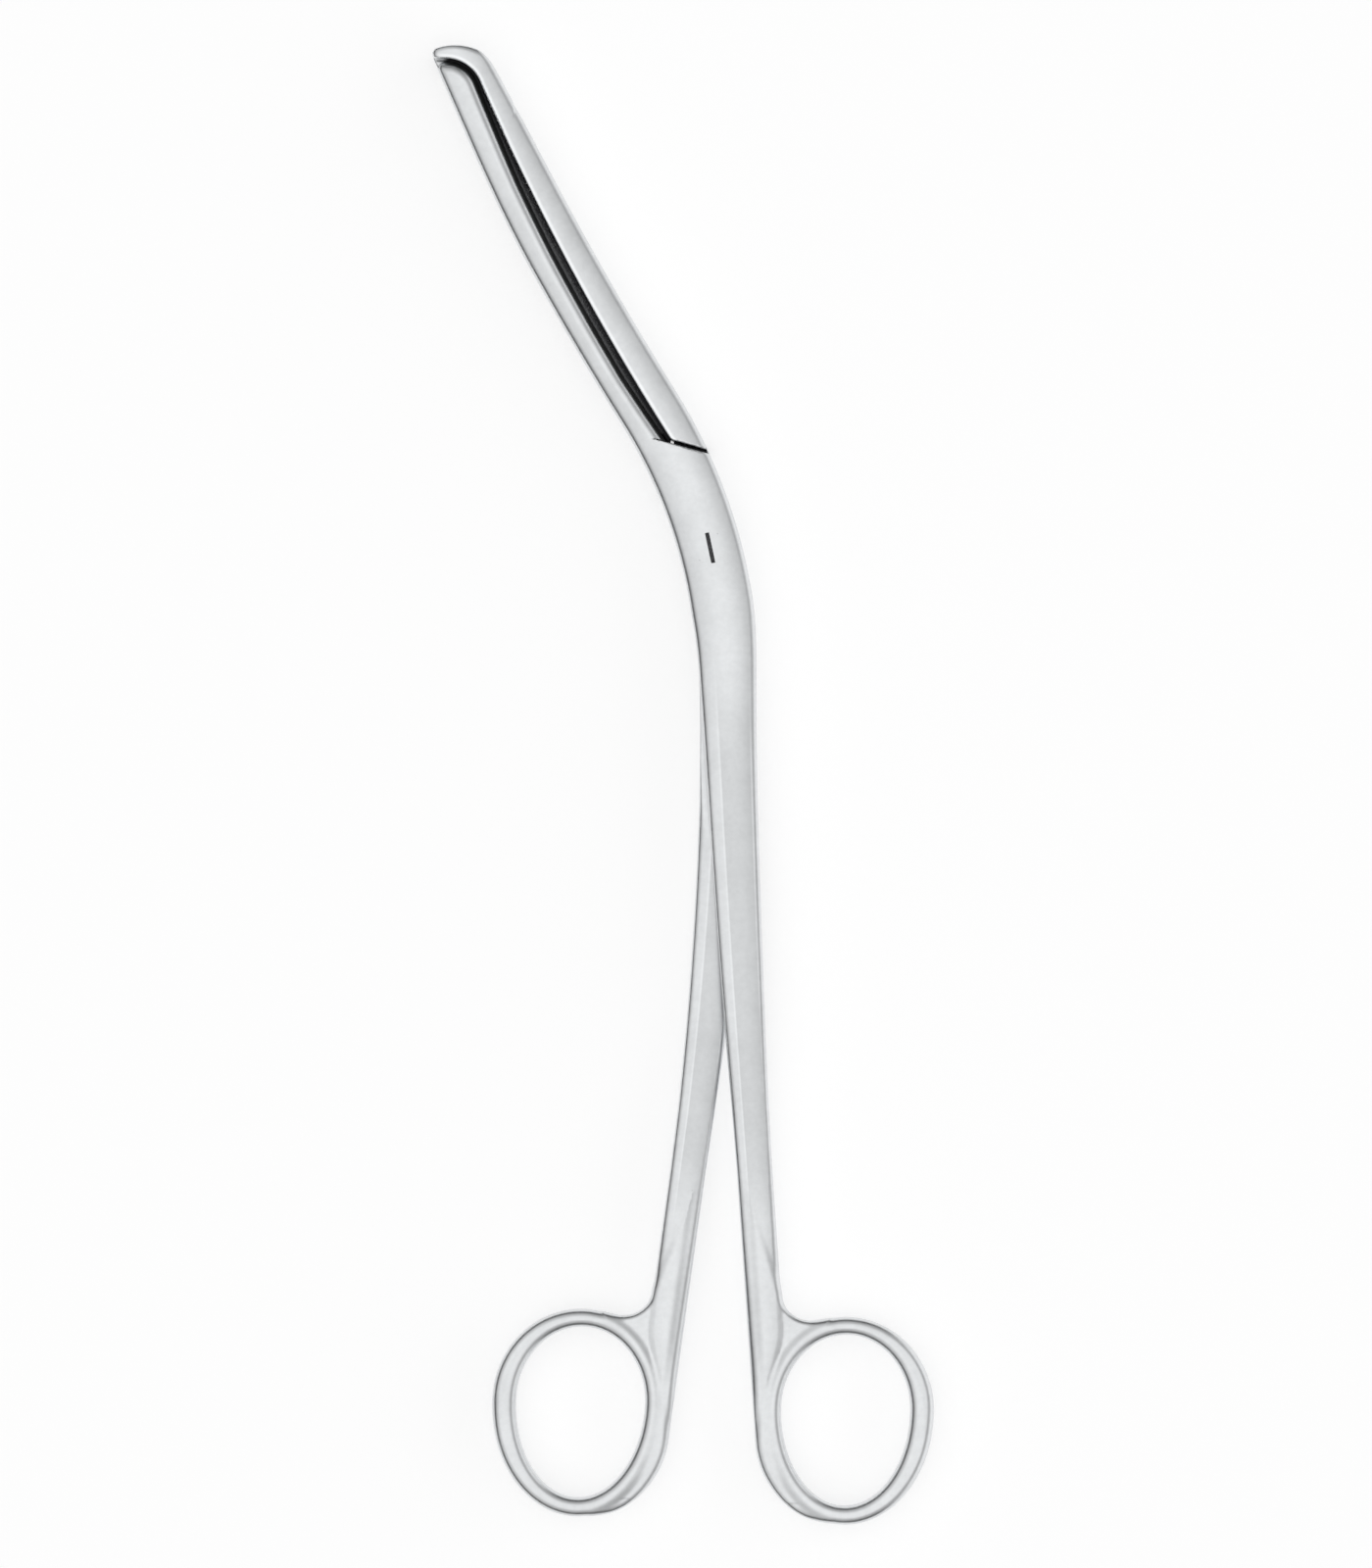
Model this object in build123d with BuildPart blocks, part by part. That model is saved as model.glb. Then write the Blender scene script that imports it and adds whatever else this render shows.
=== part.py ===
"""Sterilizer forceps: two forged arms crossing at a lap joint, and one flush screw.

Millimetres. The forceps lie on their back: +Y runs up towards the jaws, +X to the right,
+Z up out of the front face. The origin is the screw's axis at the back face of the joint.
Each arm is one forging: jaw, half of the joint, shank and finger ring. The front arm carries
the left jaw and the right ring, and the rear arm the right jaw and the left ring.
A lean is the angle of an arm's centre line from the Y axis, positive where the arm runs
down and to the right.
"""

import os
from math import atan2, cos, degrees, radians, sin, sqrt

from build123d import *

# Closed head: both jaws and the joint make one bent, rounded bar
joint_thickness = 7.0
mid = joint_thickness / 2
head_width = 11.5
head_rounding = 2.4
pivot_lean = 15.0
bend_radius = 95.0
jaw_lean = 32.0
jaw_bow_radius = 600.0
jaw_bow_length = 78.0
joint_foot_lean = 8.0

# Tip of the closed head
tip_left = (-51.0, 90.6)
tip_crown = (-47.0, 91.6)
tip_right = (-40.6, 90.0)
tip_taper_lean = 23.5
tip_flank_lean = 30.0
tip_corner_radius = 2.2
tip_rounding = 1.8
block_margin = 0.005

# Parting line of the jaws, seen from the front: the rim of the right jaw
rim_root = (-7.1, 19.7)
rim_middle = (-27.5, 54.9)
rim_bend = (-41.9, 85.0)
rim_end = (-47.9, 89.1)
parting_reach = 12.0
nose_overlap = 0.3
nose_flank = 2.6
jaw_clearance = 0.35

# Shoulders where each jaw rises out of the lap joint, each square to this lean
front_shoulder_lean = -15.5
back_shoulder_lean = 77.5
lap_clearance = 0.10
front_lap = mid + lap_clearance / 2
rear_lap = mid - lap_clearance / 2

# Cross grooves of the gripping faces
groove_pitch = 1.4
groove_depth = 0.40
groove_height = 2.2
groove_count = 22
groove_start = 1.5

# Shanks: leans at the foot of the joint and at the ring, and the bow between them
front_joint_lean = 2.0
front_ring_lean = 3.9
rear_joint_lean = -1.0
rear_ring_lean = -7.9
bow_length = 80.0
ring_root = 125.5
shank_width = 6.5
shank_gap = 0.25
lap_foot = 62.0
ring_thickness = 4.0
ring_rounding = 1.5
ring_chamfer = 0.95
ring_edge_chamfer = 0.35

# Sections down each shank: distance below the pivot, width, inner and outer height from the
# mid plane, and the rounding of the inner and outer edges
joint_foot = bend_radius * radians(pivot_lean - joint_foot_lean)
shank_sections = (
    (joint_foot, head_width, -mid, mid, head_rounding, head_rounding),
    (17.0, 11.0, -3.2, 3.5, 2.2, 2.3),
    (25.0, 10.35, -2.6, 3.5, 1.9, 2.0),
    (34.0, 9.7, -1.7, 3.5, 1.6, 1.8),
    (45.0, 9.1, -0.6, 3.5, 1.2, 1.6),
    (58.0, 8.6, shank_gap, 3.48, 0.9, 1.4),
    (74.0, 8.0, shank_gap, 3.46, 0.9, 1.4),
    (88.0, 7.4, 0.1, 3.3, 0.9, 1.4),
    (102.0, 6.8, -1.1, 2.6, 1.1, 1.4),
    (114.0, shank_width, -1.85, 2.1, 1.4, ring_rounding),
    (ring_root, shank_width, -ring_thickness / 2, ring_thickness / 2, ring_rounding, ring_rounding),
)

# Finger ring, measured square to the shank from the ring root
ring_offset = 13.6
ring_drop = 33.0
ring_tilt = 5.0
opening_half_width = 11.75
opening_rise = 13.7
opening_drop = 17.5
wall_outer = 4.35
wall_inner = 3.75
wall_top = 3.4
wall_bottom = 3.5
web_radius = 5.5
web_thickness = 3.4
web_chamfer = 0.8
tail_straight = 28.0
tail_outer = ((-2.1, -42.0), (1.0, -48.0))
web_start = 10.5
tail_inner = ((1.5, -24.0), (0.7, -34.0), (3.9, -46.5))

# Pivot screw: flush countersunk head, bearing pin and threaded end
screw_head_diameter = 5.8
screw_land = 0.8
screw_pin_diameter = 4.0
screw_thread_diameter = 3.4
pivot_clearance = 0.05
thread_clearance = 0.02
slot_width = 0.9
slot_depth = 0.7


def across(lean):
    """Unit vector square to the centre line, towards the right."""
    return Vector(cos(radians(lean)), sin(radians(lean)))


def down(lean):
    """Unit vector along the centre line, towards the ring."""
    return Vector(sin(radians(lean)), -cos(radians(lean)))


def arc_end(start, lean, end_lean, length):
    """End of a stretch of centre line that turns evenly from one lean to another."""
    if end_lean == lean:
        return start + down(lean) * length
    radius = length / radians(end_lean - lean)
    return start + (across(lean) - across(end_lean)) * radius


def shank_station(distance, joint_lean, ring_lean):
    """Centre and lean of an arm at a distance below the pivot."""
    stretches = (
        (bend_radius * radians(pivot_lean - joint_lean), pivot_lean, joint_lean),
        (bow_length, joint_lean, ring_lean),
    )
    place = Vector(0, 0)
    for length, lean, next_lean in stretches:
        if distance <= length:
            reached = lean + (next_lean - lean) * distance / length
            return arc_end(place, lean, reached, distance), reached
        place = arc_end(place, lean, next_lean, length)
        distance -= length
    return place + down(ring_lean) * distance, ring_lean


def section_plane(centre, lean):
    """Upright plane square to the centre line, its own Y upwards."""
    return Plane(origin=centre, x_dir=across(lean), z_dir=down(lean))


def rounded_section(width, low, high, low_rounding, high_rounding):
    """Cross section of a bar between two heights, drawn in the sketch that is open."""
    with Locations((0, (low + high) / 2)):
        Rectangle(width, high - low)
    fillet(vertices().group_by(Axis.Y)[-1], radius=high_rounding)
    fillet(vertices().group_by(Axis.Y)[0], radius=low_rounding)


def make_head():
    """Both closed jaws and the joint as one bar: two bends, then the shaped tip."""
    bend_centre = Vector(0, 0) - across(pivot_lean) * bend_radius
    bend_top = bend_centre + across(jaw_lean) * bend_radius
    jaw_centre = bend_top + across(jaw_lean) * jaw_bow_radius
    with BuildPart() as head:
        for centre, turn in (
            (bend_centre, jaw_lean - joint_foot_lean),
            (jaw_centre, degrees(jaw_bow_length / jaw_bow_radius)),
        ):
            with BuildSketch(section_plane(bend_top, jaw_lean)):
                rounded_section(head_width, 0, joint_thickness, head_rounding, head_rounding)
            revolve(axis=Axis(centre, (0, 0, -1)), revolution_arc=turn)
        add(make_tip_block(), mode=Mode.INTERSECT)
    return head.part


def make_tip_block():
    """Block whose rounded end shapes the tip, and whose left side tapers the left jaw."""
    left_foot = Vector(*tip_left) + down(tip_taper_lean) * 3 * head_width
    right_foot = Vector(*tip_right) + down(tip_flank_lean) * 3 * head_width
    reach = 2 * jaw_bow_length
    with BuildPart() as block:
        with BuildSketch(Plane.XY.offset(-block_margin)):
            with BuildLine():
                Line(left_foot, tip_left)
                ThreePointArc(tip_left, tip_crown, tip_right)
                Line(tip_right, right_foot)
                Line(right_foot, (reach, right_foot.Y))
                Line((reach, right_foot.Y), (reach, -reach))
                Line((reach, -reach), (-reach, -reach))
                Line((-reach, -reach), (-reach, left_foot.Y))
                Line((-reach, left_foot.Y), left_foot)
            make_face()
            fillet(vertices().group_by(Axis.Y)[-1], radius=tip_corner_radius)
            fillet(vertices().sort_by_distance(tip_right)[0], radius=tip_corner_radius)
        extrude(amount=joint_thickness + 2 * block_margin)
        outline = edges().filter_by(Plane.XY)
        tip = outline.filter_by(lambda edge: (edge @ 0.5).Y > left_foot.Y + 1)
        fillet(tip, radius=tip_rounding)
    return block.part


def parting_lines():
    """Lines of the parting between the jaws, from the root to beyond the tip."""
    side = ThreePointArc(rim_root, rim_middle, rim_bend)
    turn = TangentArc(rim_bend, rim_end, tangent=side % 1)
    end = Line(rim_end, Vector(*rim_end) + (turn % 1) * parting_reach)
    return side, turn, end


def make_jaw_block(growth, height_growth, flank):
    """Everything left of the parting and above the back shoulder, grown on all sides.

    The edges along the parting are cut back to sloping flanks where a flank is given.
    """
    shoulder_foot = Vector(*rim_root) - across(back_shoulder_lean) * 3 * head_width
    with BuildPart() as block:
        with BuildSketch(Plane.XY.offset(-height_growth)):
            with BuildLine():
                side, turn, end = parting_lines()
                far_corner = ((end @ 1).X - 3 * head_width, shoulder_foot.Y)
                Line(end @ 1, far_corner)
                Line(far_corner, shoulder_foot)
                Line(shoulder_foot, rim_root)
            make_face()
            if growth:
                offset(amount=growth, kind=Kind.INTERSECTION)
        extrude(amount=joint_thickness + 2 * height_growth)
        if flank:
            rim = Wire([side, turn, end])
            outline = edges().filter_by(Plane.XY)
            nose = outline.filter_by(
                lambda edge: rim.distance_to(Vector((edge @ 0.5).X, (edge @ 0.5).Y)) < 2 * growth
            )
            chamfer(nose, length=flank)
    return block.part


def make_plate(head, cut_height, keep_height, shoulder):
    """Half of the lap joint: the head on one side of a height and below a shoulder."""
    with BuildPart() as plate:
        add(head)
        split(bisect_by=Plane(origin=(0, 0, cut_height)), keep=keep_height)
        split(bisect_by=shoulder, keep=Keep.BOTTOM)
    return plate.part


def shoulder_plane(lean, shift):
    """Upright plane through the root of the rim, facing up the jaw, moved along its face."""
    facing = down(lean) * -1
    return Plane(origin=Vector(*rim_root) + facing * shift, z_dir=facing)


def make_shank(joint_lean, ring_lean, in_front):
    """Shank from the joint to the root of the ring, level with its own half of the joint."""
    side = 1 if in_front else -1
    with BuildPart() as shank:
        for distance, width, inner, outer, inner_rounding, outer_rounding in shank_sections:
            heights = sorted((mid + side * inner, mid + side * outer))
            roundings = (inner_rounding, outer_rounding)[::side]
            centre, lean = shank_station(distance, joint_lean, ring_lean)
            with BuildSketch(section_plane(centre, lean)):
                rounded_section(width, *heights, *roundings)
        loft(ruled=True)
        beyond_lap = front_lap - mid if in_front else rear_lap + mid
        with Locations((0, 0, beyond_lap)):
            Box(6 * head_width, 2 * lap_foot, joint_thickness, mode=Mode.SUBTRACT)
    return shank.part


def ring_point(angle, half_width, rise, drop):
    """Point of an egg-shaped outline round the finger opening, in the ring's own frame."""
    height = rise if sin(radians(angle)) > 0 else drop
    point = Vector(half_width * cos(radians(angle)), height * sin(radians(angle)))
    return Vector(ring_offset, -ring_drop) + point.rotate(Axis.Z, -ring_tilt)


def arc_chain(points, tangent):
    """Arcs through points, each starting along the end of the one before."""
    for start, end in zip(points, points[1:]):
        arc = TangentArc(start, end, tangent=tangent)
        tangent = arc % 1


def ring_quarter(half_width, height):
    """Two arcs from the side of an oval to its crown or foot, which hand over on one tangent."""
    across_half, up_half = abs(half_width), abs(height)
    side_radius = up_half**2 / across_half
    end_radius = (2 * side_radius * across_half - across_half**2 - up_half**2) / (
        2 * (side_radius - up_half)
    )
    side_centre = Vector(across_half - side_radius, 0)
    end_centre = Vector(0, up_half - end_radius)
    meeting = side_centre + (end_centre - side_centre).normalized() * side_radius
    side = (half_width / across_half, height / up_half)
    turn = (meeting.X * side[0], meeting.Y * side[1])
    arc_chain([(half_width, 0), turn, (0, height)], (0, side[1]))


def make_ring():
    """Finger ring of the front arm, drawn with the end of its shank's centre line at the origin."""
    centre = (ring_offset, -ring_drop, mid - ring_thickness / 2)
    with BuildPart() as ring:
        with BuildSketch(Plane(centre, x_dir=across(-ring_tilt), z_dir=(0, 0, 1))):
            for share, mode in ((1, Mode.ADD), (0, Mode.SUBTRACT)):
                with BuildLine():
                    for half_width in (
                        opening_half_width + share * wall_outer,
                        -opening_half_width - share * wall_inner,
                    ):
                        ring_quarter(half_width, opening_rise + share * wall_top)
                        ring_quarter(half_width, -opening_drop - share * wall_bottom)
                make_face(mode=mode)
        extrude(amount=ring_thickness)
        chamfer(edges().filter_by(Plane.XY), length=ring_chamfer)
        chamfer(edges().filter_by(Plane.XY), length=ring_edge_chamfer)
    return ring.part


def make_tail():
    """End of the front arm's shank, running down beside the ring until it merges with it."""
    edge = shank_width / 2
    with BuildPart() as tail:
        with BuildSketch(Plane.XY.offset(mid - ring_thickness / 2)):
            with BuildLine():
                Line((edge, 0), (-edge, 0))
                Line((-edge, 0), (-edge, -tail_straight))
                arc_chain([(-edge, -tail_straight), *tail_outer], (0, -1))
                Line(tail_outer[-1], tail_inner[-1])
                arc_chain([(edge, -web_start), *tail_inner], (0, -1))
                Line((edge, -web_start), (edge, 0))
            make_face()
        extrude(amount=ring_thickness)
        sides = edges().filter_by(Plane.XY).filter_by(lambda side: (side @ 0.5).Y < -0.1)
        fillet(sides, radius=ring_rounding)
    return tail.part


def make_web():
    """Flat web that fills the corner between the shank and the ring, hollow on top."""
    edge = shank_width / 2
    ring_top = ring_point(90, 0, opening_rise + wall_top, 0).Y
    web_foot = ring_point(180, opening_half_width + wall_inner / 2, 0, 0)
    ring_side = ring_point(135, opening_half_width + wall_top / 2, opening_rise + wall_top / 2, 0)
    ring_crown = ring_point(80, opening_half_width, opening_rise + wall_top / 2, 0)
    with BuildPart() as web:
        with BuildSketch(Plane.XY.offset(mid - web_thickness / 2)):
            with BuildLine():
                RadiusArc((edge + web_radius, ring_top), (edge, ring_top + web_radius), web_radius)
                Line((edge, ring_top + web_radius), (0, ring_top + web_radius))
                Line((0, ring_top + web_radius), (web_foot.X, web_foot.Y))
                ThreePointArc(web_foot, ring_side, ring_crown)
                Line(ring_crown, (ring_crown.X, ring_top))
                Line((ring_crown.X, ring_top), (edge + web_radius, ring_top))
            make_face()
        extrude(amount=web_thickness)
        arcs = edges().filter_by(GeomType.CIRCLE).filter_by(Plane.XY)
        hollow = arcs.filter_by(lambda side: abs(side.radius - web_radius) < 0.1)
        chamfer(hollow, length=web_chamfer)
    return web.part


def place_handle(piece, joint_lean, ring_lean, mirrored):
    """A piece of the ring at the end of its shank, mirrored for the left ring."""
    centre, lean = shank_station(ring_root, joint_lean, ring_lean)
    hand = mirror(piece, about=Plane.YZ, mode=Mode.PRIVATE) if mirrored else piece
    return hand.moved(Location((centre.X, centre.Y, 0), (0, 0, lean)))


def make_screw_space(clearance):
    """The pivot screw's head and pin as a turned solid, or the bore that takes them."""
    head_radius = screw_head_diameter / 2 + clearance
    pin_radius = screw_pin_diameter / 2 + clearance
    cone_top = joint_thickness - screw_land
    cone_foot = cone_top - (head_radius - pin_radius)
    foot = rear_lap - clearance
    top = joint_thickness + clearance
    with BuildPart() as space:
        with BuildSketch(Plane.XZ):
            with BuildLine():
                Polyline(
                    (0, foot),
                    (pin_radius, foot),
                    (pin_radius, cone_foot),
                    (head_radius, cone_top),
                    (head_radius, top),
                    (0, top),
                    close=True,
                )
            make_face()
        revolve(axis=Axis.Z)
    return space.part


def make_grooves(growth):
    """Cutter for the cross grooves of a gripping face that lies outside the rim by a growth."""
    side = ThreePointArc(rim_root, rim_middle, rim_bend)
    cutter_width = groove_depth * sqrt(2)
    with BuildPart() as grooves:
        with BuildSketch(Plane.XY.offset(mid - groove_height / 2)):
            for number in range(groove_count):
                share = 1 - (groove_start + number * groove_pitch) / side.length
                along = side % share
                place = side @ share + Vector(along.Y, -along.X) * growth
                with Locations(place):
                    turn = degrees(atan2(along.Y, along.X)) + 45
                    Rectangle(cutter_width, cutter_width, rotation=turn)
        extrude(amount=groove_height)
    return grooves.part


head = make_head()
handle = (make_ring(), make_tail(), make_web())

with BuildPart() as front_arm:
    add(head)
    add(make_jaw_block(nose_overlap, block_margin, nose_flank), mode=Mode.INTERSECT)
    add(make_grooves(nose_overlap), mode=Mode.SUBTRACT)
    add(make_plate(head, front_lap, Keep.TOP, shoulder_plane(front_shoulder_lean, -jaw_clearance)))
    add(make_shank(front_joint_lean, front_ring_lean, True))
    for piece in handle:
        add(place_handle(piece, front_joint_lean, front_ring_lean, False))
    add(make_screw_space(pivot_clearance), mode=Mode.SUBTRACT)

with BuildPart() as rear_arm:
    add(head)
    add(make_jaw_block(0, block_margin, 0), mode=Mode.SUBTRACT)
    split(bisect_by=shoulder_plane(front_shoulder_lean, 0), keep=Keep.TOP)
    add(make_plate(head, rear_lap, Keep.BOTTOM, shoulder_plane(back_shoulder_lean, 0)))
    add(make_shank(rear_joint_lean, rear_ring_lean, False))
    for piece in handle:
        add(place_handle(piece, rear_joint_lean, rear_ring_lean, True))
    channel_growth = nose_overlap + jaw_clearance
    channel_flank = nose_flank + (2 - sqrt(2)) * jaw_clearance
    add(make_jaw_block(channel_growth, jaw_clearance, channel_flank), mode=Mode.SUBTRACT)
    add(make_grooves(channel_growth), mode=Mode.SUBTRACT)
    Cylinder(screw_thread_diameter / 2 + thread_clearance, 2 * joint_thickness, mode=Mode.SUBTRACT)

with BuildPart() as pivot_screw:
    add(make_screw_space(0))
    with Locations((0, 0, rear_lap / 2)):
        Cylinder(screw_thread_diameter / 2, rear_lap)
    with Locations(Location((0, 0, joint_thickness), (0, 0, pivot_lean))):
        Box(slot_width, 2 * screw_head_diameter, 2 * slot_depth, mode=Mode.SUBTRACT)

front_arm.part.label = "front_arm"
rear_arm.part.label = "rear_arm"
pivot_screw.part.label = "pivot_screw"
os.makedirs("parts", exist_ok=True)
for piece in (front_arm.part, rear_arm.part, pivot_screw.part):
    export_step(piece, f"parts/{piece.label}.step")
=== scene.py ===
"""Sterilizer forceps in satin stainless steel, seen from above.

Two forged arms cross at a shouldered lap joint and turn on one flush screw. Each arm is worked
out here as one smooth forging with numpy: a section is carried along the arm's centre line, the
jaws are parted along one line, and the finger ring is an egg-shaped band that flows into its
shank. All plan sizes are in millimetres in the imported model's own frame, and each mesh is written
in metres.
"""

from __future__ import annotations

import logging
from dataclasses import dataclass, field
from enum import Enum
from typing import Callable, Sequence

import bpy
import numpy as np
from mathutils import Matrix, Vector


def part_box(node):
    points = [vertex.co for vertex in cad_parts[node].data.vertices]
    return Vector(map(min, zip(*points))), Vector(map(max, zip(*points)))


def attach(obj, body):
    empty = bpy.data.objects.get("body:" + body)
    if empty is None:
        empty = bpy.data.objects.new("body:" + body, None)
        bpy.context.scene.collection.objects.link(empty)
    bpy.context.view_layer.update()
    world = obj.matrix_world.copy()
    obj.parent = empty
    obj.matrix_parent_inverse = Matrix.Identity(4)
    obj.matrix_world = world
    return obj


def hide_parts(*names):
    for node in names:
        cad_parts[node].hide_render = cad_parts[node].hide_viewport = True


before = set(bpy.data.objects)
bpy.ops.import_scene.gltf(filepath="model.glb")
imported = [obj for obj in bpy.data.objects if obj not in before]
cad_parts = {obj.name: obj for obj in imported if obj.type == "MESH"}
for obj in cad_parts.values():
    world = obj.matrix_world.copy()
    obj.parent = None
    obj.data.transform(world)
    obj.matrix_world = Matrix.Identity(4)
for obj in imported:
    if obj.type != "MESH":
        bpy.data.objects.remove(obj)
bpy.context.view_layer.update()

LOG = logging.getLogger("forceps")
# One millimetre in metres
MM = 0.001
# Width over which the face of a bar and its side meet, in millimetres
EDGE = 0.3
# Distance that stands for far away from a skin, in millimetres
FAR = 50.0
# Smallest number that is taken for more than nothing
TINY = 1e-9
# Height above the mid plane from which a highlight is painted along the jaw's rim, in millimetres
RIM_ABOVE = 1.0

Array = np.ndarray
Point = tuple[float, float]
Form = Callable[[Array, Array, Array], Array]
Tree = bpy.types.NodeTree
Socket = bpy.types.NodeSocket
Material = bpy.types.Material


class Side(Enum):
    """Which half of the lap joint an arm holds."""

    FRONT = 1
    REAR = -1


class Body(Enum):
    """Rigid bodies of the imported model."""

    FRONT = "front"
    REAR = "rear"


def across(lean: float | Array) -> Array:
    """Unit vector to the right of a line that leans by degrees from the Y axis, down and to the right."""
    turn = np.radians(lean)
    return np.array([np.cos(turn), np.sin(turn)])


def down(lean: float | Array) -> Array:
    """Unit vector along a leaning centre line, towards the ring."""
    turn = np.radians(lean)
    return np.array([np.sin(turn), -np.cos(turn)])


@dataclass(frozen=True)
class Stretch:
    """One stretch of a centre line: an arc, or a straight where the lean doesn't change.

    Attributes:
        start: Plan point of its upper end.
        lean: Lean at the upper end, in degrees.
        end_lean: Lean at the lower end.
        length: Length along the line.
        distance: Distance of the upper end along the whole line.
    """

    start: Array
    lean: float
    end_lean: float
    length: float
    distance: float

    @property
    def radius(self) -> float:
        """Signed radius, positive where the centre lies on the right."""
        return self.length / np.radians(self.end_lean - self.lean)

    @property
    def straight(self) -> bool:
        """True where the lean doesn't change."""
        return abs(self.end_lean - self.lean) < TINY

    def end(self) -> Array:
        """Plan point of the lower end."""
        if self.straight:
            return self.start + down(self.lean) * self.length
        return self.start + (across(self.lean) - across(self.end_lean)) * self.radius

    def locate(self, x: Array, y: Array) -> tuple[Array, Array]:
        """Distances along the line and to its right, for plan points.

        On an arc both come from the polar coordinates round its centre, and on a straight from
        the dot products with its direction and its normal.
        """
        px, py = x - self.start[0], y - self.start[1]
        if self.straight:
            ahead, right = down(self.lean), across(self.lean)
            return self.distance + px * ahead[0] + py * ahead[1], px * right[0] + py * right[1]
        centre = across(self.lean) * self.radius
        qx, qy = (centre[0] - px) * np.sign(self.radius), (centre[1] - py) * np.sign(self.radius)
        lean = np.arctan2(qy, qx)
        swept = lean - np.radians(self.lean)
        swept = (swept + np.pi) % (2 * np.pi) - np.pi
        along = self.distance + swept * self.radius
        return along, np.sign(self.radius) * (abs(self.radius) - np.hypot(qx, qy))


@dataclass
class CentreLine:
    """A smooth line of arcs and straights that plan points are measured from.

    Attributes:
        stretches: The stretches in order, from the upper end down.
    """

    stretches: list[Stretch]

    @classmethod
    def through(cls, start: Point, distance: float, lean: float,
                turns: Sequence[tuple[float, float]]) -> CentreLine:
        """Builds a line from its upper end and the length and end lean of each stretch.

        Args:
            start: Plan point of the upper end.
            distance: Distance given to the upper end.
            lean: Lean at the upper end.
            turns: Length and end lean of each stretch.

        Returns:
            The line.
        """
        stretches = []
        place = np.array(start, float)
        for length, end_lean in turns:
            stretch = Stretch(place, lean, end_lean, length, distance)
            stretches.append(stretch)
            place, lean, distance = stretch.end(), end_lean, distance + length
        return cls(stretches)

    def locate(self, x: Array, y: Array) -> tuple[Array, Array]:
        """Distance along the line and to its right for plan points, from the stretch they lie by.

        A point belongs to a lower stretch once it lies below the normal at that stretch's start.
        """
        along, right = self.stretches[0].locate(x, y)
        for stretch in self.stretches[1:]:
            ahead = down(stretch.lean)
            below = (x - stretch.start[0]) * ahead[0] + (y - stretch.start[1]) * ahead[1] > 0
            lower_along, lower_right = stretch.locate(x, y)
            along = np.where(below, lower_along, along)
            right = np.where(below, lower_right, right)
        return along, right


def circle_through(a: Point, b: Point, c: Point) -> tuple[Array, float]:
    """Centre and radius of the circle through three points, from two linear equations in the centre."""
    p, q, r = (np.array(point, float) for point in (a, b, c))
    sides = 2 * np.array([q - p, r - p])
    centre = np.linalg.solve(sides, np.array([q @ q - p @ p, r @ r - p @ p]))
    return centre, float(np.hypot(*(centre - p)))


def line_lean(centre: Array, point: Array) -> float:
    """Lean of a circle's tangent at a point, where the centre lies to the right of the line."""
    return float(np.degrees(np.arctan2(centre[1] - point[1], centre[0] - point[0])))


def beside(x: Array, y: Array, point: Point, lean: float) -> Array:
    """Signed distance to the right of the straight through a point with a lean."""
    right = across(lean)
    return (x - point[0]) * right[0] + (y - point[1]) * right[1]


def above(x: Array, y: Array, point: Point, lean: float) -> Array:
    """Signed distance above the straight that crosses a lean squarely at a point."""
    ahead = down(lean)
    return -(x - point[0]) * ahead[0] - (y - point[1]) * ahead[1]


def part(value: Array, whole: float | Array) -> Array:
    """Share of a whole that a value covers, from 0 to 1."""
    return np.clip(value / whole, 0, 1)


def eased(share: Array) -> Array:
    """A share that starts and ends gently: three times its square less twice its cube."""
    return share * share * (3 - 2 * share)


def round_meet(a: Array, b: Array, radius: float) -> Array:
    """Signed distance to what two forms share, with a rounded edge where their skins cross."""
    edge = np.hypot(np.maximum(a + radius, 0), np.maximum(b + radius, 0))
    return np.minimum(-radius, np.maximum(a, b)) + edge


def soft_meet(a: Array, b: Array, width: float) -> Array:
    """What two forms share, the larger of two distances eased over a width where they are near."""
    near = np.maximum(width - np.abs(a - b), 0)
    return np.maximum(a, b) + near * near / (4 * width)


def soft_join(a: Array, b: Array, width: float) -> Array:
    """Both forms as one, the smaller of two distances eased over a width where they are near."""
    near = np.maximum(width - np.abs(a - b), 0)
    return np.minimum(a, b) - near * near / (4 * width)


def bar(plan: Array, height: Array, low: Array, high: Array, width: Array, drop: Array) -> Array:
    """Signed distance to a flat outline carried up to a height, its edges rolled over.

    The face turns down along an arc until it meets the upright side at 45 degrees.

    Args:
        plan: Signed distance to the outline in plan.
        height: Height of the points.
        low: Height of the under side.
        high: Height of the top.
        width: Width of the rolled edges.
        drop: How far the face lies below its full height.

    Returns:
        The signed distance.
    """
    middle = (low + high) / 2
    radius = width * np.sqrt(2.0)
    out = plan + width
    over = np.abs(height - middle) - (high - low) / 2 + radius + drop
    corner = np.hypot(np.maximum(out, 0), np.maximum(over, 0))
    face = np.minimum(np.maximum(out, over), 0) + corner - radius
    return round_meet(face, plan, EDGE)


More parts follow.
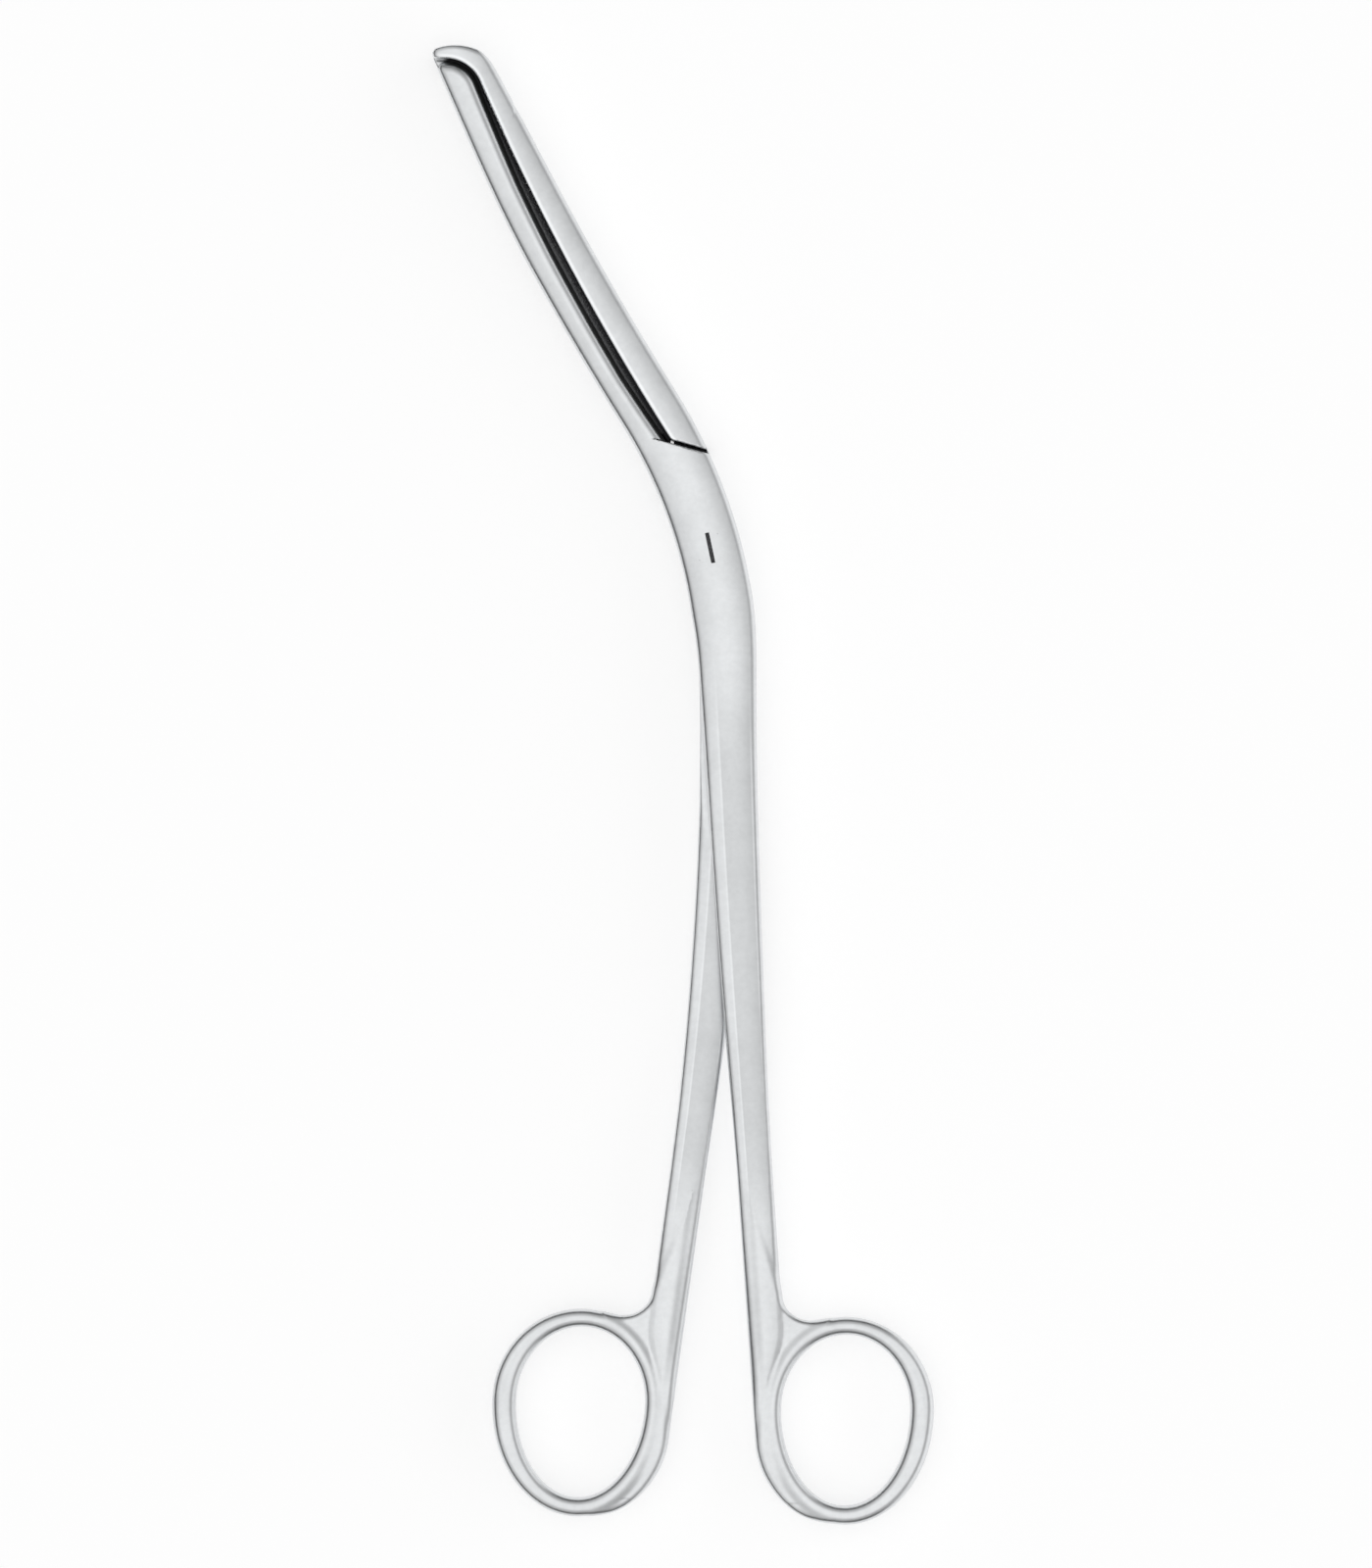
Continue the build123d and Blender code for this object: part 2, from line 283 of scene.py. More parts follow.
@dataclass
class Head:
    """The closed head: both jaws and the joint as one bent, rounded bar.

    Attributes:
        thickness: Height of the bar.
        pivot_lean: Lean at the screw.
        bend_radius: Radius of the bend round the joint.
        jaw_lean: Lean where the bend hands over to the jaws.
        bow_radius: Radius of the jaws' slight bow.
        bow_length: Length of the bowed jaws.
        run: Length of the straight on which the line ends, beside the ring.
    """

    thickness: float = 7.0
    pivot_lean: float = 15.0
    bend_radius: float = 95.0
    jaw_lean: float = 32.0
    bow_radius: float = 600.0
    bow_length: float = 78.0
    run: float = 90.0

    @property
    def mid(self) -> float:
        """Height of the plane between the two arms."""
        return self.thickness / 2

    def line(self, joint_lean: float, ring_lean: float, bow: float) -> CentreLine:
        """Centre line of an arm from the jaw tip to beyond its ring.

        Args:
            joint_lean: Lean where the bend ends.
            ring_lean: Lean at the ring.
            bow: Length over which the shank turns from one to the other.

        Returns:
            The line, its distances counted from the screw.
        """
        top_lean = self.jaw_lean - np.degrees(self.bow_length / self.bow_radius)
        bend_centre = -across(self.pivot_lean) * self.bend_radius
        bow_centre = bend_centre + across(self.jaw_lean) * (self.bend_radius + self.bow_radius)
        top = bow_centre - across(top_lean) * self.bow_radius
        upper = self.bend_radius * np.radians(self.jaw_lean - self.pivot_lean)
        turn = self.bend_radius * np.radians(self.jaw_lean - joint_lean)
        turns = ((self.bow_length, self.jaw_lean), (turn, joint_lean), (bow, ring_lean),
                 (self.run, ring_lean))
        return CentreLine.through(tuple(top), -upper - self.bow_length, top_lean, turns)


@dataclass
class Tip:
    """Rounded end of the closed head, with the taper of the left jaw.

    Attributes:
        left: Left end of the tip's crown.
        crown: Highest part of the crown.
        right: Right end of the crown.
        taper_lean: Lean of the tapered left side.
        flank_lean: Lean of the right side.
        corner: Radius of the two corners.
        reach: Height in plan above which the tip's outline counts.
        steepest: Least square of the cosine of the crown's slope.
    """

    left: Point = (-51.0, 90.6)
    crown: Point = (-47.0, 91.6)
    right: Point = (-40.6, 90.0)
    taper_lean: float = 23.5
    flank_lean: float = 30.0
    corner: float = 1.3
    reach: float = 30.0
    steepest: float = 0.05

    def plan(self, x: Array, y: Array) -> Array:
        """Signed distance to the tip's outline: the crown's circle cut by its two side lines."""
        centre, radius = circle_through(self.left, self.crown, self.right)
        level = np.sqrt(np.maximum(1 - ((x - centre[0]) / radius) ** 2, self.steepest))
        cap = (y - centre[1] - radius * level) * level
        left = -beside(x, y, self.left, self.taper_lean)
        right = beside(x, y, self.right, self.flank_lean)
        return round_meet(round_meet(cap, left, self.corner), right, self.corner)


@dataclass
class Jaws:
    """How the jaws are parted: the right jaw's rim, the left jaw's nose and the channel for it.

    Attributes:
        root: Lower end of the rim, where both shoulders start.
        middle: Point half way along the rim.
        bend: Where the rim starts to hook over the tip of the left jaw.
        end: Where the hook reaches the left side.
        overlap: How far the nose reaches under the rim.
        set_back: Share of the open groove's width by which the left jaw stands back from the rim.
        clearance: Gap between nose and channel.
        seam: Gap at the shoulders.
        front_lean: Lean square to the front shoulder.
        back_lean: Lean square to the back shoulder.
        lap: Gap between the two halves of the joint.
        pitch: Spacing of the cross grooves.
        depth: Depth of the cross grooves.
        grip: Distances of the first and last groove from the rim's bend.
        gaps: Distance along the parting line and width of the open groove there.
        roll: Radius by which the left jaw rolls over into the groove.
        nose_half: Half the height of the nose.
        lead: Length of the parting line beyond the tip.
        run: Length of it below the root.
    """

    root: Point = (-7.1, 19.7)
    middle: Point = (-27.5, 54.9)
    bend: Point = (-41.9, 85.0)
    end: Point = (-47.9, 89.1)
    overlap: float = 0.3
    set_back: float = 0.82
    clearance: float = 0.35
    seam: float = 0.6
    front_lean: float = -15.5
    back_lean: float = 77.5
    lap: float = 0.10
    pitch: float = 1.4
    depth: float = 0.40
    grip: tuple[float, float] = (1.5, 31.5)
    gaps: tuple[tuple[float, float], ...] = (
        (-9.0, 0.6), (0.0, 0.7), (9.0, 1.05), (20.0, 1.6),
        (34.0, 1.85), (60.0, 1.75), (74.0, 1.0), (84.0, 0.7))
    roll: float = 2.3
    nose_half: float = 0.9
    lead: float = 14.0
    run: float = 40.0

    def gap(self, place: Array) -> Array:
        """Width of the open groove at distances along the parting line."""
        table = np.array(self.gaps).T
        return np.interp(place, table[0], table[1])

    def grooves(self, place: Array) -> Array:
        """Depth of the cross grooves at distances along the parting line: half a raised cosine."""
        wave = self.depth * (0.5 - 0.5 * np.cos(2 * np.pi * place / self.pitch))
        return np.where((place > self.grip[0]) & (place < self.grip[1]), wave, 0.0)

    def rim(self) -> tuple[float, float, float]:
        """Length of the rim from its bend to its root, and its lean at either end."""
        centre, radius = circle_through(self.root, self.middle, self.bend)
        bend_lean, root_lean = (line_lean(centre, np.array(point)) for point in (self.bend, self.root))
        return radius * np.radians(abs(root_lean - bend_lean)), bend_lean, root_lean

    def line(self) -> CentreLine:
        """The parting line from beyond the tip down to the root, as arcs that hand over smoothly."""
        length, side_lean, root_lean = self.rim()
        end = np.array(self.end)
        chord = np.array(self.bend) - end
        chord_lean = np.degrees(np.arctan2(chord[0], -chord[1]))
        end_lean = 2 * chord_lean - side_lean
        sweep = np.radians(side_lean - end_lean)
        turn_radius = np.hypot(*chord) / (2 * np.sin(sweep / 2))
        far = end - down(end_lean) * self.lead
        hook = abs(turn_radius * sweep)
        turns = ((self.lead, end_lean), (hook, side_lean), (length, root_lean), (self.run, root_lean))
        return CentreLine.through(tuple(far), -(self.lead + hook), end_lean, turns)


@dataclass
class Shank:
    """Sections of an arm from its joint to the end of its tail, and how they ease into each other.

    Attributes:
        sections: Distance below the screw, edge away from the ring, edge towards the ring, inner
            and outer height from the mid plane, width of the rolled edges, and how far the crowned
            face drops there.
        ease: Length over which neighbouring sections are blended.
        root: Distance at which the ring's web starts.
        lap_foot: How far below the screw the flat of the lap reaches.
        end: Distance at which the tail has sunk into the ring.
        crown_power: Power of the distance from the middle by which a crowned face drops.
        step: Spacing of the samples between which sections are interpolated.
        outline_blend: Width over which the bar's sides and the tip's outline flow together.
    """

    sections: tuple[tuple[float, ...], ...] = (
        (-120.0, -5.75, 5.75, -3.5, 3.5, 1.1, 0.95),
        (11.6, -5.75, 5.75, -3.5, 3.5, 1.1, 0.95),
        (17.0, -5.5, 5.5, -3.2, 3.5, 1.1, 0.90),
        (25.0, -5.17, 5.17, -2.6, 3.5, 1.0, 0.80),
        (34.0, -4.85, 4.85, -1.7, 3.5, 1.0, 0.70),
        (45.0, -4.55, 4.55, -0.6, 3.5, 0.9, 0.60),
        (58.0, -4.3, 4.3, 0.25, 3.48, 0.9, 0.50),
        (74.0, -4.0, 4.0, 0.25, 3.46, 0.9, 0.45),
        (88.0, -3.7, 3.7, 0.1, 3.3, 0.9, 0.42),
        (102.0, -3.4, 3.4, -1.1, 2.6, 0.9, 0.40),
        (114.0, -3.25, 3.25, -1.85, 2.1, 0.9, 0.38),
        (125.5, -3.25, 3.25, -2.0, 2.0, 1.0, 0.42),
        (134.0, -3.25, 3.25, -2.0, 2.0, 1.1, 0.52),
        (144.0, -3.25, 3.25, -2.0, 2.0, 1.2, 0.60),
        (149.5, -3.25, 1.7, -2.0, 2.0, 1.3, 0.50),
        (153.5, -3.25, 0.2, -1.95, 1.95, 1.4, 0.25),
        (157.5, -3.25, -0.5, -1.9, 1.9, 1.4, 0.0),
        (161.0, -3.24, -0.45, -1.9, 1.9, 1.4, 0.0),
        (165.0, -3.05, 0.1, -1.8, 1.8, 1.4, 0.0),
        (168.8, -2.2, 1.0, -1.6, 1.6, 1.3, 0.0),
        (172.5, -0.2, 3.0, -1.2, 1.2, 1.0, 0.0),
        (180.0, 6.0, 9.0, -0.5, 0.5, 0.4, 0.0),
    )
    ease: float = 5.0
    root: float = 125.5
    lap_foot: float = 62.0
    end: float = 174.0
    crown_power: float = 1.9
    step: float = 0.25
    outline_blend: float = 1.0

    def __post_init__(self) -> None:
        """Samples the sections finely and smooths them with a bell-shaped window."""
        rows = np.array(self.sections)
        self.steps = np.arange(rows[0, 0], rows[-1, 0], self.step)
        window = np.hanning(int(self.ease / self.step) | 1)
        pad = len(window) // 2
        self.values = []
        for column in rows[:, 1:].T:
            fine = np.interp(self.steps, rows[:, 0], column)
            padded = np.pad(fine, pad, mode="edge")
            self.values.append(np.convolve(padded, window / window.sum(), mode="valid"))

    def at(self, along: Array) -> list[Array]:
        """The six section values at distances below the screw."""
        return [np.interp(along, self.steps, column) for column in self.values]

    def drop(self, along: Array, ringward: Array) -> Array:
        """How far the crowned face lies below its full height, as a power of the share of half width."""
        away, near, *_, depth = self.at(along)
        share = np.abs(ringward - (near + away) / 2) / ((near - away) / 2)
        return depth * np.minimum(share, 1.0) ** self.crown_power

    def field(self, along: Array, ringward: Array, up: Array, mid: float, side: Side,
              outline: Array) -> Array:
        """Signed distance to the bar that the sections make along the arm.

        Args:
            along: Distance below the screw.
            ringward: Distance from the centre line towards the ring's side.
            up: Height.
            mid: Height of the mid plane.
            side: Which half of the joint the arm holds.
            outline: Signed distance to an outline that limits the bar in plan.

        Returns:
            The signed distance.
        """
        away, near, inner, outer, rounding, _ = self.at(along)
        plan = soft_meet(np.abs(ringward - (near + away) / 2) - (near - away) / 2, outline,
                         self.outline_blend)
        height = (up - mid) * side.value
        level = mid + (inner + outer) / 2 * side.value
        drop = np.where(up > level, self.drop(along, ringward), 0.0)
        section = bar(plan, height, inner, outer, rounding, drop)
        return np.maximum(section, along - self.end)


@dataclass
class FingerRing:
    """Egg-shaped finger ring and the web that joins it to its shank.

    Attributes:
        offset: How far the opening's centre lies to the side of the shank's centre line.
        drop: How far it lies below the ring's root.
        tilt: Turn of the egg, in degrees.
        half_width: Half the opening's width.
        rise: Opening above its centre.
        fall: Opening below its centre.
        walls: Wall thickness on the outer side, inner side, top and bottom.
        crest_share: Share of the wall at which the crest's outline lies beside the tail.
        crest_fade: Start, length, power and depth of its fall towards the ring's bottom.
        crest_lift: Depth below the centre and length of its change to its share beside the web.
        crest_top: Share there.
        thickness: Height of the band.
        rounding: Radius of the band's edges.
        web_radius: Radius of the hollow corner between shank and ring.
        web_lean: Lean into the shank of the web's side above the corner.
        web_foot: Height above the root, in plan, at which the web ends inside wire and tail.
        web_inset: How far beyond the shank's centre line it reaches.
        web_end: How far before the ring's middle its roof ends.
        web_sink: How far its roof lies below the ring's top.
        plate_thickness: Height of web and crest.
        plate_rounding: Radius of their edges.
        plate_blend: Width over which their outlines flow together.
        shank_half: Half the shank's width at the root.
        blend: Width over which wire, plate and shank flow together.
        reach: Height above the root up to which the ring counts.
    """

    offset: float = 13.6
    drop: float = 33.0
    tilt: float = 5.0
    half_width: float = 11.75
    rise: float = 13.7
    fall: float = 17.5
    walls: tuple[float, float, float, float] = (4.35, 2.8, 3.2, 3.3)
    crest_share: float = 1.85
    crest_fade: tuple[float, float, float, float] = (-15.5, 14.0, 1.45, 0.95)
    crest_lift: tuple[float, float] = (9.0, 16.0)
    crest_top: float = 0.6
    thickness: float = 4.0
    rounding: float = 1.39
    web_radius: float = 5.5
    web_lean: float = 0.25
    web_foot: float = -34.0
    web_inset: float = 1.2
    web_end: float = 2.0
    web_sink: float = 0.3
    plate_thickness: float = 3.3
    plate_rounding: float = 1.0
    plate_blend: float = 1.5
    shank_half: float = 3.25
    blend: float = 1.0
    reach: float = 8.0

    def place(self, ringward: Array, rise: Array) -> tuple[Array, Array]:
        """Coordinates in the egg's own turned frame."""
        turn = np.radians(self.tilt)
        dx, dy = ringward - self.offset, rise + self.drop
        return np.cos(turn) * dx - np.sin(turn) * dy, np.sin(turn) * dx + np.cos(turn) * dy

    def egg(self, ex: Array, ey: Array, share: float | Array) -> Array:
        """Signed distance to an egg of two half ellipses, grown by a share of the wall.

        The share is 0 at the opening and 1 at the outside. The distance is the ellipse's own
        function less one, over the length of its gradient.
        """
        outer, inner, top, bottom = (share * wall for wall in self.walls)
        a = self.half_width + np.where(ex > 0, outer, inner)
        h = np.where(ey > 0, self.rise + top, self.fall + bottom)
        level = np.hypot(ex / a, ey / h) + TINY
        return (level - 1) * level / (np.hypot(ex / a**2, ey / h**2) + TINY)

    def web(self, ringward: Array, rise: Array) -> Array:
        """Signed distance in plan to the web: the hollow corner between shank and ring, filled up.

        Above the corner its side leans into the shank, so that it ends inside.
        """
        top = self.rise + self.walls[2] - self.drop - self.web_sink
        side, roof = ringward - self.shank_half, rise - top
        side = side + self.web_lean * np.maximum(roof - self.web_radius, 0)
        left, under = self.web_radius - side, self.web_radius - roof
        corner = self.web_radius - np.hypot(np.maximum(left, 0), np.maximum(under, 0))
        corner = np.where((left > 0) & (under > 0), corner, np.minimum(side, roof))
        ends = np.maximum(self.web_foot - rise, ringward - self.offset + self.web_end)
        return np.maximum(corner, np.maximum(ends, -ringward - self.web_inset))

    def crest(self, ex: Array, ey: Array) -> Array:
        """Signed distance in plan to the tail's oval outline, which elsewhere sinks into the wire."""
        start, length, power, fall = self.crest_fade
        share = self.crest_share - fall * part(ex - start, length) ** power
        depth, span = self.crest_lift
        return self.egg(ex, ey, share + (self.crest_top - share) * eased(part(ey + depth, span)))

    def join(self, body: Array, ringward: Array, rise: Array, up: Array, mid: float) -> Array:
        """Joins the ring to its shank: a round wire, and a thinner plate that is web and crest.

        The plate stays clear of the opening by a third of the wall beside the shank.

        Args:
            body: Signed distance to the shank.
            ringward: Distance from the shank's centre line towards the ring.
            rise: Height of the point above the ring's root, in plan.
            up: Height.
            mid: Height of the mid plane.

        Returns:
            The signed distance to all of it.
        """
        ex, ey = self.place(ringward, rise)
        level = np.abs(up - mid)
        hole, outside = self.egg(ex, ey, 0.0), self.egg(ex, ey, 1.0)
        wire = round_meet(np.maximum(outside, -hole), level - self.thickness / 2, self.rounding)
        plan = soft_join(self.web(ringward, rise), self.crest(ex, ey), self.plate_blend)
        plan = np.maximum(plan, self.walls[1] / 3 - hole)
        plate = round_meet(plan, level - self.plate_thickness / 2, self.plate_rounding)
        solid = soft_join(soft_join(body, plate, self.blend), wire, self.blend)
        return np.where(rise < self.reach, solid, body)


@dataclass
class Screw:
    """Flush countersunk screw of the joint, and the seats that it needs in both arms.

    Attributes:
        pin: Radius of the bearing pin.
        head: Radius of the head.
        seat: Radius at which the seat meets the front face.
        land: Height of the head's straight rim.
        thread: Radius of the threaded end.
        slack: Gap round the pin.
        rear_end: Height of the threaded end.
        slot_width: Width of the driver slot.
        slot_depth: Depth of the driver slot.
        slot_lean: Lean of the driver slot.
        slot_edge: Width over which the slot's edges are broken.
    """

    pin: float = 2.0
    head: float = 2.9
    seat: float = 2.75
    land: float = 0.8
    thread: float = 1.7
    slack: float = 0.05
    rear_end: float = 0.02
    slot_width: float = 0.62
    slot_depth: float = 0.7
    slot_lean: float = 12.0
    slot_edge: float = 0.1

    def front_hole(self, x: Array, y: Array, z: Array, top: float) -> Array:
        """Signed distance to the countersunk hole, a cylinder that widens as a cone to the seat."""
        radius = np.clip(self.seat - (top - self.land - z), self.pin + self.slack, self.seat)
        return np.hypot(x, y) - radius

    def rear_hole(self, x: Array, y: Array) -> Array:
        """Signed distance to the threaded hole."""
        return np.hypot(x, y) - self.thread + self.slack / 2

    def slot(self, x: Array, y: Array, z: Array, top: Array) -> Array:
        """Signed distance to the driver slot: a strip across the head, open at the top."""
        return np.maximum(np.abs(beside(x, y, (0.0, 0.0), self.slot_lean)) - self.slot_width / 2,
                          top - self.slot_depth - z)

    def field(self, x: Array, y: Array, z: Array, top: Array, mid: float) -> Array:
        """Signed distance to the screw: head flush with the crowned face, thread below the mid plane."""
        radius = np.clip(self.head - (top - self.land - z), self.pin, self.head)
        radius = np.where(z > mid, radius, self.thread)
        body = np.maximum(np.hypot(x, y) - radius, np.maximum(z - top, self.rear_end - z))
        return soft_meet(body, -self.slot(x, y, z, top), self.slot_edge)


@dataclass(frozen=True)
class GrooveShade:
    """Where shade is painted into the groove between the jaws and into its seam, all in millimetres.

    Attributes:
        onset: Share of the groove's width left of the rim at which the shade starts.
        span: Share of the width over which it gets full.
        wall: Width left of the parting line that counts to the right jaw's wall.
        wall_depth: How far below its faces that wall starts to be dark.
        wall_fade: Height over which it gets dark.
        tip: Distance beyond the rim's bend up to which it is dark.
        right: How far right of the parting line the shade ends.
        right_fade: Width over which it ends.
        seam_depth: How far below the front face the shoulder's seam starts to be dark.
        seam_fade: Height over which it gets dark.
        seam_left: How far left of the parting line it starts.
        seam_margin: Width over which it ends beyond the seam.
    """

    onset: float = 1.35
    span: float = 0.95
    wall: float = 0.12
    wall_depth: float = 0.12
    wall_fade: float = 0.4
    tip: float = 8.5
    right: float = 0.85
    right_fade: float = 0.2
    seam_depth: float = 1.2
    seam_fade: float = 0.5
    seam_left: float = 1.0
    seam_margin: float = 0.1


@dataclass
class Skin:
    """Closed mesh of quads found on a signed distance field.

    Attributes:
        points: Vertex places.
        faces: Vertex numbers of the quads.
        normals: Unit normals of the vertices.
    """

    points: Array
    faces: Array
    normals: Array


@dataclass
class Arm:
    """One forged arm: a jaw, half of the joint, a shank and a finger ring.

    Attributes:
        head: The closed head that both arms share.
        tip: Its rounded end.
        jaws: How it is parted.
        screw: The screw's seat.
        shank: Sections of the shank and the tail.
        ring: The finger ring.
        side: Which half of the joint the arm holds.
        joint_lean: Lean where the bend of the joint ends.
        ring_lean: Lean at the ring.
        bow: Length over which the shank turns from one to the other.
        edge: Width over which cut edges are broken.
        shade: Where shade is painted in the groove.
    """

    head: Head
    tip: Tip
    jaws: Jaws
    screw: Screw
    shank: Shank
    ring: FingerRing
    side: Side
    joint_lean: float
    ring_lean: float
    bow: float = 80.0
    edge: float = 0.35
    shade: GrooveShade = GrooveShade()

    def __post_init__(self) -> None:
        """Works out the centre line and the parting line once."""
        self.line = self.head.line(self.joint_lean, self.ring_lean, self.bow)
        self.parting = self.jaws.line()

    def jaw(self, x: Array, y: Array, z: Array, closed: Array) -> Array:
        """Signed distance to the arm's jaw, cut from the closed head."""
        raise NotImplementedError

    def hole(self, x: Array, y: Array, z: Array) -> Array:
        """Signed distance to the arm's hole for the screw."""
        raise NotImplementedError

    @property
    def shoulder_lean(self) -> float:
        """Lean square to the shoulder at which the arm's half of the joint ends."""
        return self.jaws.front_lean if self.side is Side.FRONT else self.jaws.back_lean

    def half(self, x: Array, y: Array, z: Array, closed: Array) -> Array:
        """Signed distance to the arm's half of the joint, which ends at its shoulder, with the shank."""
        shoulder = above(x, y, self.jaws.root, self.shoulder_lean) + self.jaws.seam
        lap = (self.head.mid - z) * self.side.value + self.jaws.lap / 2
        lap = np.where(y > -self.shank.lap_foot, lap, -FAR)
        return soft_meet(soft_meet(closed, shoulder, self.edge), lap, self.edge / 2)

    def field(self, x: Array, y: Array, z: Array) -> Array:
        """Signed distance to the whole arm.

        The bar along the centre line keeps within the tip's outline. It is cut to the arm's half of
        the joint, and by the parting line to its jaw. Both are joined, the ring and its web flow
        in, and the screw's hole is taken out.

        Args:
            x: Plan x of the points, in millimetres.
            y: Plan y of them.
            z: Height of them.

        Returns:
            The signed distance, negative inside the steel.
        """
        along, right = self.line.locate(x, y)
        ringward = right * self.side.value
        outline = np.where(y > self.tip.reach, self.tip.plan(x, y), -FAR)
        body = self.shank.field(along, ringward, z, self.head.mid, self.side, outline)
        both = np.minimum(self.jaw(x, y, z, body), self.half(x, y, z, body))
        solid = self.ring.join(both, ringward, self.shank.root - along, z, self.head.mid)
        return np.maximum(solid, -self.hole(x, y, z))

    def painted_shade(self, x: Array, y: Array, z: Array) -> Array:
        """Share of shade painted at a point, from 0 to 1, by how far it lies into the groove between the jaws
        and how deep in the shoulders' seam.
        """
        mid, shade = self.head.mid, self.shade
        place, right = self.parting.locate(x, y)
        gap = self.jaws.gap(place)
        open_part = eased(part(right + gap * shade.onset, gap * shade.span))
        wall = part(mid - shade.wall_depth - np.abs(z - mid), shade.wall_fade)
        wall = wall * np.clip(place + shade.tip, 0, 1)
        groove = np.where(right > -shade.wall, wall, open_part) * np.clip(self.jaws.rim()[0] - place, 0, 1)
        groove = groove * part(shade.right - right, shade.right_fade)
        off = np.abs(above(x, y, self.jaws.root, self.jaws.front_lean))
        deep = part(self.head.thickness - shade.seam_depth - z, shade.seam_fade) * (right > -shade.seam_left)
        return np.maximum(groove, deep * part(self.jaws.seam + shade.seam_margin - off, shade.seam_margin))


class FrontArm(Arm):
    """Arm of the right ring, on top in the joint, which ends in the left jaw with its nose.

    Attributes:
        GROUND_RIM: Width beyond the screw's head in which the face is ground flush.
        GROUND_DEPTH: Depth below the face down to which a point counts to it.
        SLOT_MARGIN: Width beside the driver slot that keeps its own normals.
        SLOT_SHADE: Depth in the slot at which painted shade starts, and height over which it gets full.
    """

    GROUND_RIM = 0.45
    GROUND_DEPTH = 0.16
    SLOT_MARGIN = 0.1
    SLOT_SHADE = (0.1, 0.3)

    def jaw(self, x: Array, y: Array, z: Array, closed: Array) -> Array:
        """Left jaw: the head left of the parting line, stepped back above and below its nose."""
        place, right = self.parting.locate(x, y)
        level = np.abs(z - self.head.mid)
        nose = np.maximum(right + self.jaws.grooves(place) - self.jaws.overlap, level - self.jaws.nose_half)
        body = round_meet(right + self.jaws.gap(place) * self.jaws.set_back, closed, self.jaws.roll)
        nose = soft_meet(nose, closed, self.edge)
        shape = soft_join(nose, body, self.edge)
        return soft_meet(shape, -above(x, y, self.jaws.root, self.jaws.back_lean), self.edge)

    def hole(self, x: Array, y: Array, z: Array) -> Array:
        """Signed distance to the countersunk hole."""
        return self.screw.front_hole(x, y, z, self.head.thickness)

    def face(self, x: Array, y: Array) -> Array:
        """Height of the crowned front face."""
        return self.head.thickness - self.shank.drop(*self.line.locate(x, y))

    def grind(self, skin: Skin) -> Skin:
        """Gives the points round the screw's head the normal of the face, ground flush there."""
        x, y, z = skin.points.T
        step = 0.05
        slope = np.stack([self.face(x - step, y) - self.face(x + step, y),
                          self.face(x, y - step) - self.face(x, y + step), np.full_like(x, 2 * step)], axis=1)
        slope /= np.linalg.norm(slope, axis=1)[:, None]
        seam = np.hypot(x, y) < self.screw.head + self.GROUND_RIM
        seam &= z > self.face(x, y) - self.GROUND_DEPTH
        from_slot = np.abs(beside(x, y, (0.0, 0.0), self.screw.slot_lean))
        seam &= from_slot > self.screw.slot_width / 2 + self.SLOT_MARGIN
        return Skin(skin.points, skin.faces, np.where(seam[:, None], slope, skin.normals))

    def screw_field(self, x: Array, y: Array, z: Array) -> Array:
        """Signed distance to the screw that sits in this arm."""
        return self.screw.field(x, y, z, self.face(x, y), self.head.mid)

    def screw_painted_shade(self, x: Array, y: Array, z: Array) -> Array:
        """Share of shade painted at a point in the screw's slot, from 0 to 1, by how deep it lies."""
        start, height = self.SLOT_SHADE
        return part(self.face(x, y) - z - start, height)


class RearArm(Arm):
    """Arm of the left ring, behind in the joint, which ends in the right jaw with its channel."""

    def jaw(self, x: Array, y: Array, z: Array, closed: Array) -> Array:
        """Right jaw: the head right of the parting line, hollowed for the other jaw's nose."""
        place, right = self.parting.locate(x, y)
        level = np.abs(z - self.head.mid)
        reach = right - self.jaws.overlap - self.jaws.clearance + self.jaws.grooves(place)
        channel = np.maximum(reach, level - self.jaws.nose_half - self.jaws.clearance)
        shape = soft_meet(-right, -channel, self.edge)
        shape = soft_meet(shape, -above(x, y, self.jaws.root, self.jaws.front_lean), self.edge)
        return soft_meet(closed, shape, self.edge)

    def hole(self, x: Array, y: Array, z: Array) -> Array:
        """Signed distance to the threaded hole."""
        return self.screw.rear_hole(x, y)


